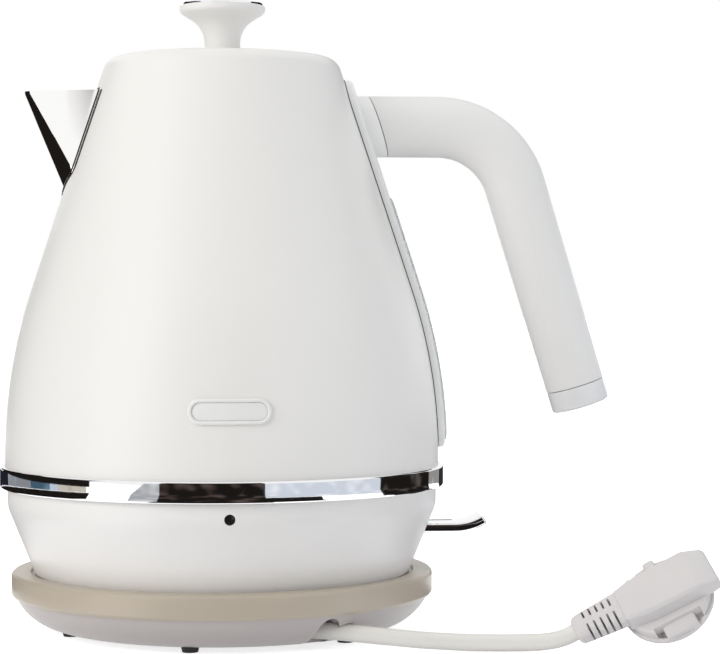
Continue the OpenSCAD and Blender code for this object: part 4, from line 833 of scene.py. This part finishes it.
# Badge: blank pill-shaped plate in satin silver-white inside a raised rim of the same metal.
# Both are glued to the front of the body, near its foot.
badge_z, badge_w, badge_h, rim_w, badge_gap = 91.0, 30.7, 9.6, 1.5, 0.05
face_proud, face_edge, face_crown = 0.55, 0.2, 0.15
badge_satin = finish_of("badge_satin", (0.84, 0.835, 0.815), (0.8, 0.795, 0.775), 0.22, 0.3, drift=60)
rim_loops = [(0, 0.05), (0, 0.75), (0.12, 1.05), (0.4, 1.25), (0.75, 1.3), (1.1, 1.22), (1.38, 1.0),
             (rim_w, 0.7), (rim_w, 0.05)]
rim = pill("badge_frame", front_azimuth, badge_z, badge_w / 2, badge_h / 2, False, rim_loops, badge_satin,
           ring_only=True)
fixed(rim, "kettle", "badge_satin", "badge_rim")
face_half_w = badge_h / 2 - rim_w - badge_gap
plate_face = pill("badge_face", front_azimuth, badge_z, badge_w / 2 - rim_w - badge_gap, face_half_w, False,
                  rounded_loops(face_half_w, face_proud, face_edge, crown=face_crown), badge_satin)
fixed(plate_face, "kettle", "badge_satin", "badge_plate")

# Switch lever: chromed moulded blade with a round hub on a pivot pin inside the skirt. It runs straight
# out through the skirt's slot and curls up at its tip, where a finger presses it down.
lever_out, curl_len, lever_rise, hub_r, tail_len = 23.6, 12.0, 3.4, 3.5, 10.0
curl_r = (curl_len ** 2 + lever_rise ** 2) / (2 * lever_rise)
curl_angle = asin(curl_len / curl_r)
curl_x = skirt_at_lever + lever_out - curl_len - pivot_x


def blade_side(off):
    """One face of the blade in side view, moved upwards, from its tail to its tip."""
    level = [(-tail_len, off)] + [(curl_x * k / 4, off) for k in range(1, 4)]
    return level + bow(curl_x, curl_r, curl_r - off, -pi / 2, curl_angle - pi / 2, 16)


outline = blade_side(-lever_t / 2) + blade_side(lever_t / 2)[::-1]
blade_points = [(pivot_x + x, side * lever_w / 2, lever_z + z) for side in (-1, 1) for x, z in outline]
m = len(outline)
blade_faces = [tuple(range(m)), tuple(range(m, 2 * m))] + skin_faces([(0, 1)], m)
blade = mesh_piece("switch_blade", blade_points, blade_faces, chrome)
soft_edges(blade, 0.9, 5, 50)
dress(blade, chrome)
hub_line = [(pivot_x, side * lever_w / 2, lever_z) for side in (-1, 1)]
hub = sweep("lever_hub", hub_line, [hub_r] * 2, 40, chrome)
lever = joined("switch_blade", [blade, hub], chrome)
fixed(lever, "lever", "chrome", "switch_lever")

# Lid: pressed steel cover, slightly crowned, with the body's satin white finish and a rounded edge.
# It drops onto the ledge of the mouth and is held there by its seal.
lid_r, crown_h, lid_edge = mouth_r - 0.3, 1.4, 1.0
crown_r = (lid_r ** 2 + crown_h ** 2) / (2 * crown_h)
crown_z = shoulder_z + crown_h
crown = bow(0, crown_z - crown_r, crown_r, acos((lid_r - lid_edge) / crown_r), pi / 2, 24)[:-1]
edge = bow(lid_r - lid_edge, crown[0][1] - lid_edge, lid_edge, 0, pi / 2, 6)[:-1]
lid = lathe("lid_top", [(0, ledge_z), (lid_r, ledge_z)] + edge + crown + [(0, crown_z)], body_white)
fixed(lid, "lid", "lid_paint", "lid_cover")

# Knob: turned soft-touch plastic with a waist that flares into a round head, screwed on from below,
# with a bright domed cap let into its top.
stem_r, head_r, head_edge = 7.1, 17.0, 2.0
flare_z, flare_r, flare_a = shoulder_z + 5.9, 11.0, radians(57)
head_h, fillet, foot_sunk, rim_edge, rim_ease, cap_room = 1.4, 1.2, 0.1, 0.5, 0.15, 0.05
cap_sunk, cap_in, cap_t, cap_lift, dome_h, dome_ease = 1.2, 0.9, 2.2, 0.9, 0.8, 0.12
head_cone_w = head_r - stem_r - (head_edge + flare_r) * (1 - cos(flare_a))
head_low = flare_z + (flare_r + head_edge) * sin(flare_a) + head_cone_w / tan(flare_a)
knob_top = head_low + head_h
cap_seat, cap_r = knob_top - cap_sunk, head_r - cap_in
foot_r = stem_r + fillet
foot = [(0, crown_z - fillet), (foot_r, crown_z - fillet), (foot_r, crown_z - foot_sunk)]
waist = bow(foot_r, crown_z + fillet, fillet, -pi / 2, -pi, 5)
flare = bow(stem_r + flare_r, flare_z, flare_r, pi, pi - flare_a, 20)
head = bow(head_r - head_edge, head_low, head_edge, -flare_a, 0, 14)
top = [(head_r, knob_top - rim_edge), (head_r - rim_ease, knob_top - rim_ease), (head_r - rim_edge, knob_top),
       (cap_r + cap_room, knob_top), (cap_r + cap_room, cap_seat), (0, cap_seat)]
knob = lathe("lid_knob", foot + waist + flare + head + top, soft_white, 128)
fixed(knob, "lid", "grip_white", "knob")
rim_z = cap_seat + cap_t + cap_lift - dome_h
dome_r = (cap_r ** 2 + dome_h ** 2) / (2 * dome_h)
dome = bow(0, rim_z + dome_h - dome_r, dome_r, acos(cap_r / dome_r), pi / 2, 20)[1:-1]
cap_side = [(0, cap_seat), (cap_r, cap_seat), (cap_r, rim_z - rim_edge),
            (cap_r - rim_ease, rim_z - dome_ease)]
knob_cap = lathe("knob_disc", cap_side + dome + [(0, rim_z + dome_h)], chrome, 128)
fixed(knob_cap, "lid", "chrome", "knob_cap")

# Floor of the studio: pale matt table that keeps the kettle's shadow, lifted to white for the camera
# and for what bright metal reflects. It isn't part of the kettle.
floor_tone, floor_glow = (0.88, 0.88, 0.9, 1), 0.75


def rays_of(tree, *kinds):
    """Output that is one for the named kinds of ray only."""
    rays, *sums = new_nodes(tree, "LightPath", *["Math"] * (len(kinds) - 1))
    seen = rays.outputs[kinds[0]]
    for add, kind in zip(sums, kinds[1:]):
        add.operation, add.use_clamp = "ADD", True
        tree.links.new(seen, add.inputs[0])
        tree.links.new(rays.outputs[kind], add.inputs[1])
        seen = add.outputs[0]
    return seen


floor = plain_mesh("floor", [(-6, -3, 0), (6, -3, 0), (6, 9, 0), (-6, 9, 0)], [(0, 1, 2, 3)])
floor_paint = bpy.data.materials.new("floor_white")
floor_paint.use_nodes = True
tree = floor_paint.node_tree
base = tree.nodes["Principled BSDF"]
set_sockets(base, Base_Color=floor_tone, Roughness=0.9, Specular_IOR_Level=0.1)
glow, add, lift = new_nodes(tree, "Emission", "AddShader", "Math")
lift.operation = "MULTIPLY"
lift.inputs[1].default_value = floor_glow
tree.links.new(rays_of(tree, "Is Camera Ray", "Is Glossy Ray"), lift.inputs[0])
wire(tree, (lift, 0, glow, "Strength"), (base, 0, add, 0), (glow, 0, add, 1),
     (add, 0, tree.nodes["Material Output"], "Surface"))
floor.data.materials.append(floor_paint)

# Cards of the studio: dark, grey and tinted boards on arcs round the kettle, some with a part on the
# floor. Only bright metal reflects them. Their sizes are in metres.
blot_scale, blot_detail, blot_from, blot_to = 10.0, 1.0, 0.5, 0.72
card_lift = 0.0006
black, brown = (0.012, 0.01, 0.009), (0.12, 0.085, 0.075)


def card_group():
    """Two tones of a card: in soft blots, or as a fade into the other tone at its upper right."""
    group, given, out = new_group(
        "card_tones", {"Tone": "Color", "Other tone": "Color", "Fade": "Float"}, {"Tone": "Color"})
    place, blots, spread, parts, rise, share, tone = new_nodes(
        group, "TexCoord", "TexNoise", "MapRange", "SeparateXYZ", "Math", "Mix", "Mix")
    set_sockets(blots, Scale=blot_scale, Detail=blot_detail)
    set_sockets(spread, From_Min=blot_from, From_Max=blot_to)
    rise.operation, share.data_type, tone.data_type = "MULTIPLY", "FLOAT", "RGBA"
    wire(group,
         (place, "Object", blots, "Vector"), (blots, "Fac", spread, "Value"),
         (place, "Generated", parts, 0), (parts, "Z", rise, 0), (parts, "X", rise, 1),
         (given, "Fade", share, "Factor"), (spread, "Result", share, "A"), (rise, 0, share, "B"),
         (share, "Result", tone, "Factor"), (given, "Tone", tone, "A"), (given, "Other tone", tone, "B"),
         (tone, "Result", out, "Tone"))
    return group


card_tones = card_group()


def card(name, start, end, low, high, tone, other=None, slant=0.0, floor_from=0.0, distance=0.62, fade=0.0):
    """Card on an arc, between two angles that run from the viewer's side to the right."""
    points, n = [], 12
    rows = [(distance, low, 0.0), (distance, high, slant)]
    if floor_from:
        rows.insert(0, (floor_from, card_lift, 0.0))
        rows[1] = (distance, card_lift, 0.0)
    for reach, z, lean_in in rows:
        for k in range(n + 1):
            a = radians(viewer_side + start + lean_in + (end - start - lean_in) * k / n)
            points.append((reach * cos(a), reach * sin(a), z))
    faces = [(r * (n + 1) + k, r * (n + 1) + k + 1, (r + 1) * (n + 1) + k + 1, (r + 1) * (n + 1) + k)
             for r in range(len(rows) - 1) for k in range(n)]
    made = plain_mesh(name, points, faces)
    paint, shader, tones = new_material(name, card_tones)
    set_sockets(shader, Base_Color=(0, 0, 0, 1), Specular_IOR_Level=0.0, Emission_Strength=1.0)
    set_sockets(tones, Tone=(*tone, 1), Other_tone=(*(other or tone), 1), Fade=fade)
    wire(paint.node_tree, (tones, "Tone", shader, "Emission Color"))
    made.data.materials.append(paint)
    made.visible_camera = made.visible_diffuse = made.visible_shadow = made.visible_transmission = False


card("card_front", -26, 23, 0.0, 0.5, black, brown, floor_from=0.12)
card("card_front_grey", -40, -26, 0.0, 0.1, (0.42, 0.43, 0.45), (0.75, 0.76, 0.78), slant=10, floor_from=0.25)
card("card_right_floor", 15, 50, 0.0, 0.001, black, floor_from=0.16, distance=0.48)
card("card_right_pale", 23, 85, 0.0, 0.1, (0.66, 0.71, 0.79), (0.92, 0.94, 0.98), floor_from=0.49)
card("card_right", 85, 129, 0.0, 0.4, black, (0.1, 0.09, 0.08), floor_from=0.12)
card("card_right_far", 147, 179, 0.0, 0.05, (0.03, 0.03, 0.035), floor_from=0.12)
card("card_right_high", 95, 176, 0.26, 0.5, black)
card("card_left_beige", -82, -64, 0.0, 0.03, (0.6, 0.55, 0.48), (0.3, 0.3, 0.3))
card("card_left_pale", -88, -82, 0.0, 0.03, (0.55, 0.62, 0.72))
card("card_left_blue", -104, -88, 0.0, 0.03, (0.06, 0.11, 0.16), (0.14, 0.24, 0.34))
card("card_left_grey", -132, -104, 0.0, 0.03, (0.25, 0.26, 0.29), (0.42, 0.43, 0.46))
card("card_left_far", -179, -132, 0.0, 0.03, (0.015, 0.015, 0.025))
card("card_left_floor", -179, -62, 0.0, 0.001, black, floor_from=0.16, distance=0.6)
card("card_left_high", -142, -62, 0.03, 0.5, black)
card("card_left_mid", -142, -62, 0.07, 0.2, black, distance=0.3)
card("card_right_back", 129, 147, 0.0, 0.1, (0.3, 0.29, 0.28), (0.75, 0.75, 0.76))
card("card_spout_shade", -42.5, -39.75, 0.35, 0.4, (1.0, 1.0, 1.0), (0.32, 0.3, 0.29), slant=-6, fade=1.0)

# Light of the studio: a warm key from the left, cool fills from the right and a lamp above, all large and
# soft, in an even white room. The camera and bright metal see the room as plain white.
lamp_aim = Vector((0, 0, 0.12))
room_tone, room_strength = (0.96, 0.98, 1.0, 1), 0.55


def soft_light(name, azimuth, height, distance, size, power, tone):
    """Large square lamp turned to the kettle. The azimuth runs from the viewer's side to the right."""
    lamp = bpy.data.lights.new(name, "AREA")
    lamp.shape, lamp.size, lamp.energy, lamp.color = "SQUARE", size, power, tone
    made = new_object(name, lamp)
    a = radians(viewer_side + azimuth)
    made.location = (distance * cos(a), distance * sin(a), height)
    made.rotation_euler = (lamp_aim - made.location).to_track_quat("-Z", "Y").to_euler()
    made.visible_glossy = made.visible_camera = False


soft_light("key_left", -48, 0.7, 1.5, 1.0, 13.0, (1.0, 0.978, 0.945))
soft_light("fill_right", 62, 0.55, 1.7, 1.0, 2.2, (0.86, 0.92, 1.0))
soft_light("top", 120, 1.6, 0.6, 0.9, 5.5, (1.0, 0.99, 0.97))
soft_light("low_right", 102, 0.18, 1.1, 0.45, 2.0, (0.88, 0.9, 1.0))
world = bpy.data.worlds.new("studio")
bpy.context.scene.world = world
world.use_nodes = True
tree = world.node_tree
room, (plain_white, mix) = tree.nodes["Background"], new_nodes(tree, "Background", "MixShader")
set_sockets(room, Color=room_tone, Strength=room_strength)
set_sockets(plain_white, Color=(1, 1, 1, 1), Strength=1.0)
tree.links.new(rays_of(tree, "Is Camera Ray", "Is Glossy Ray", "Is Transmission Ray"), mix.inputs["Fac"])
wire(tree, (room, 0, mix, 1), (plain_white, 0, mix, 2), (mix, 0, tree.nodes["World Output"], "Surface"))
bpy.context.scene.view_settings.view_transform = "Standard"
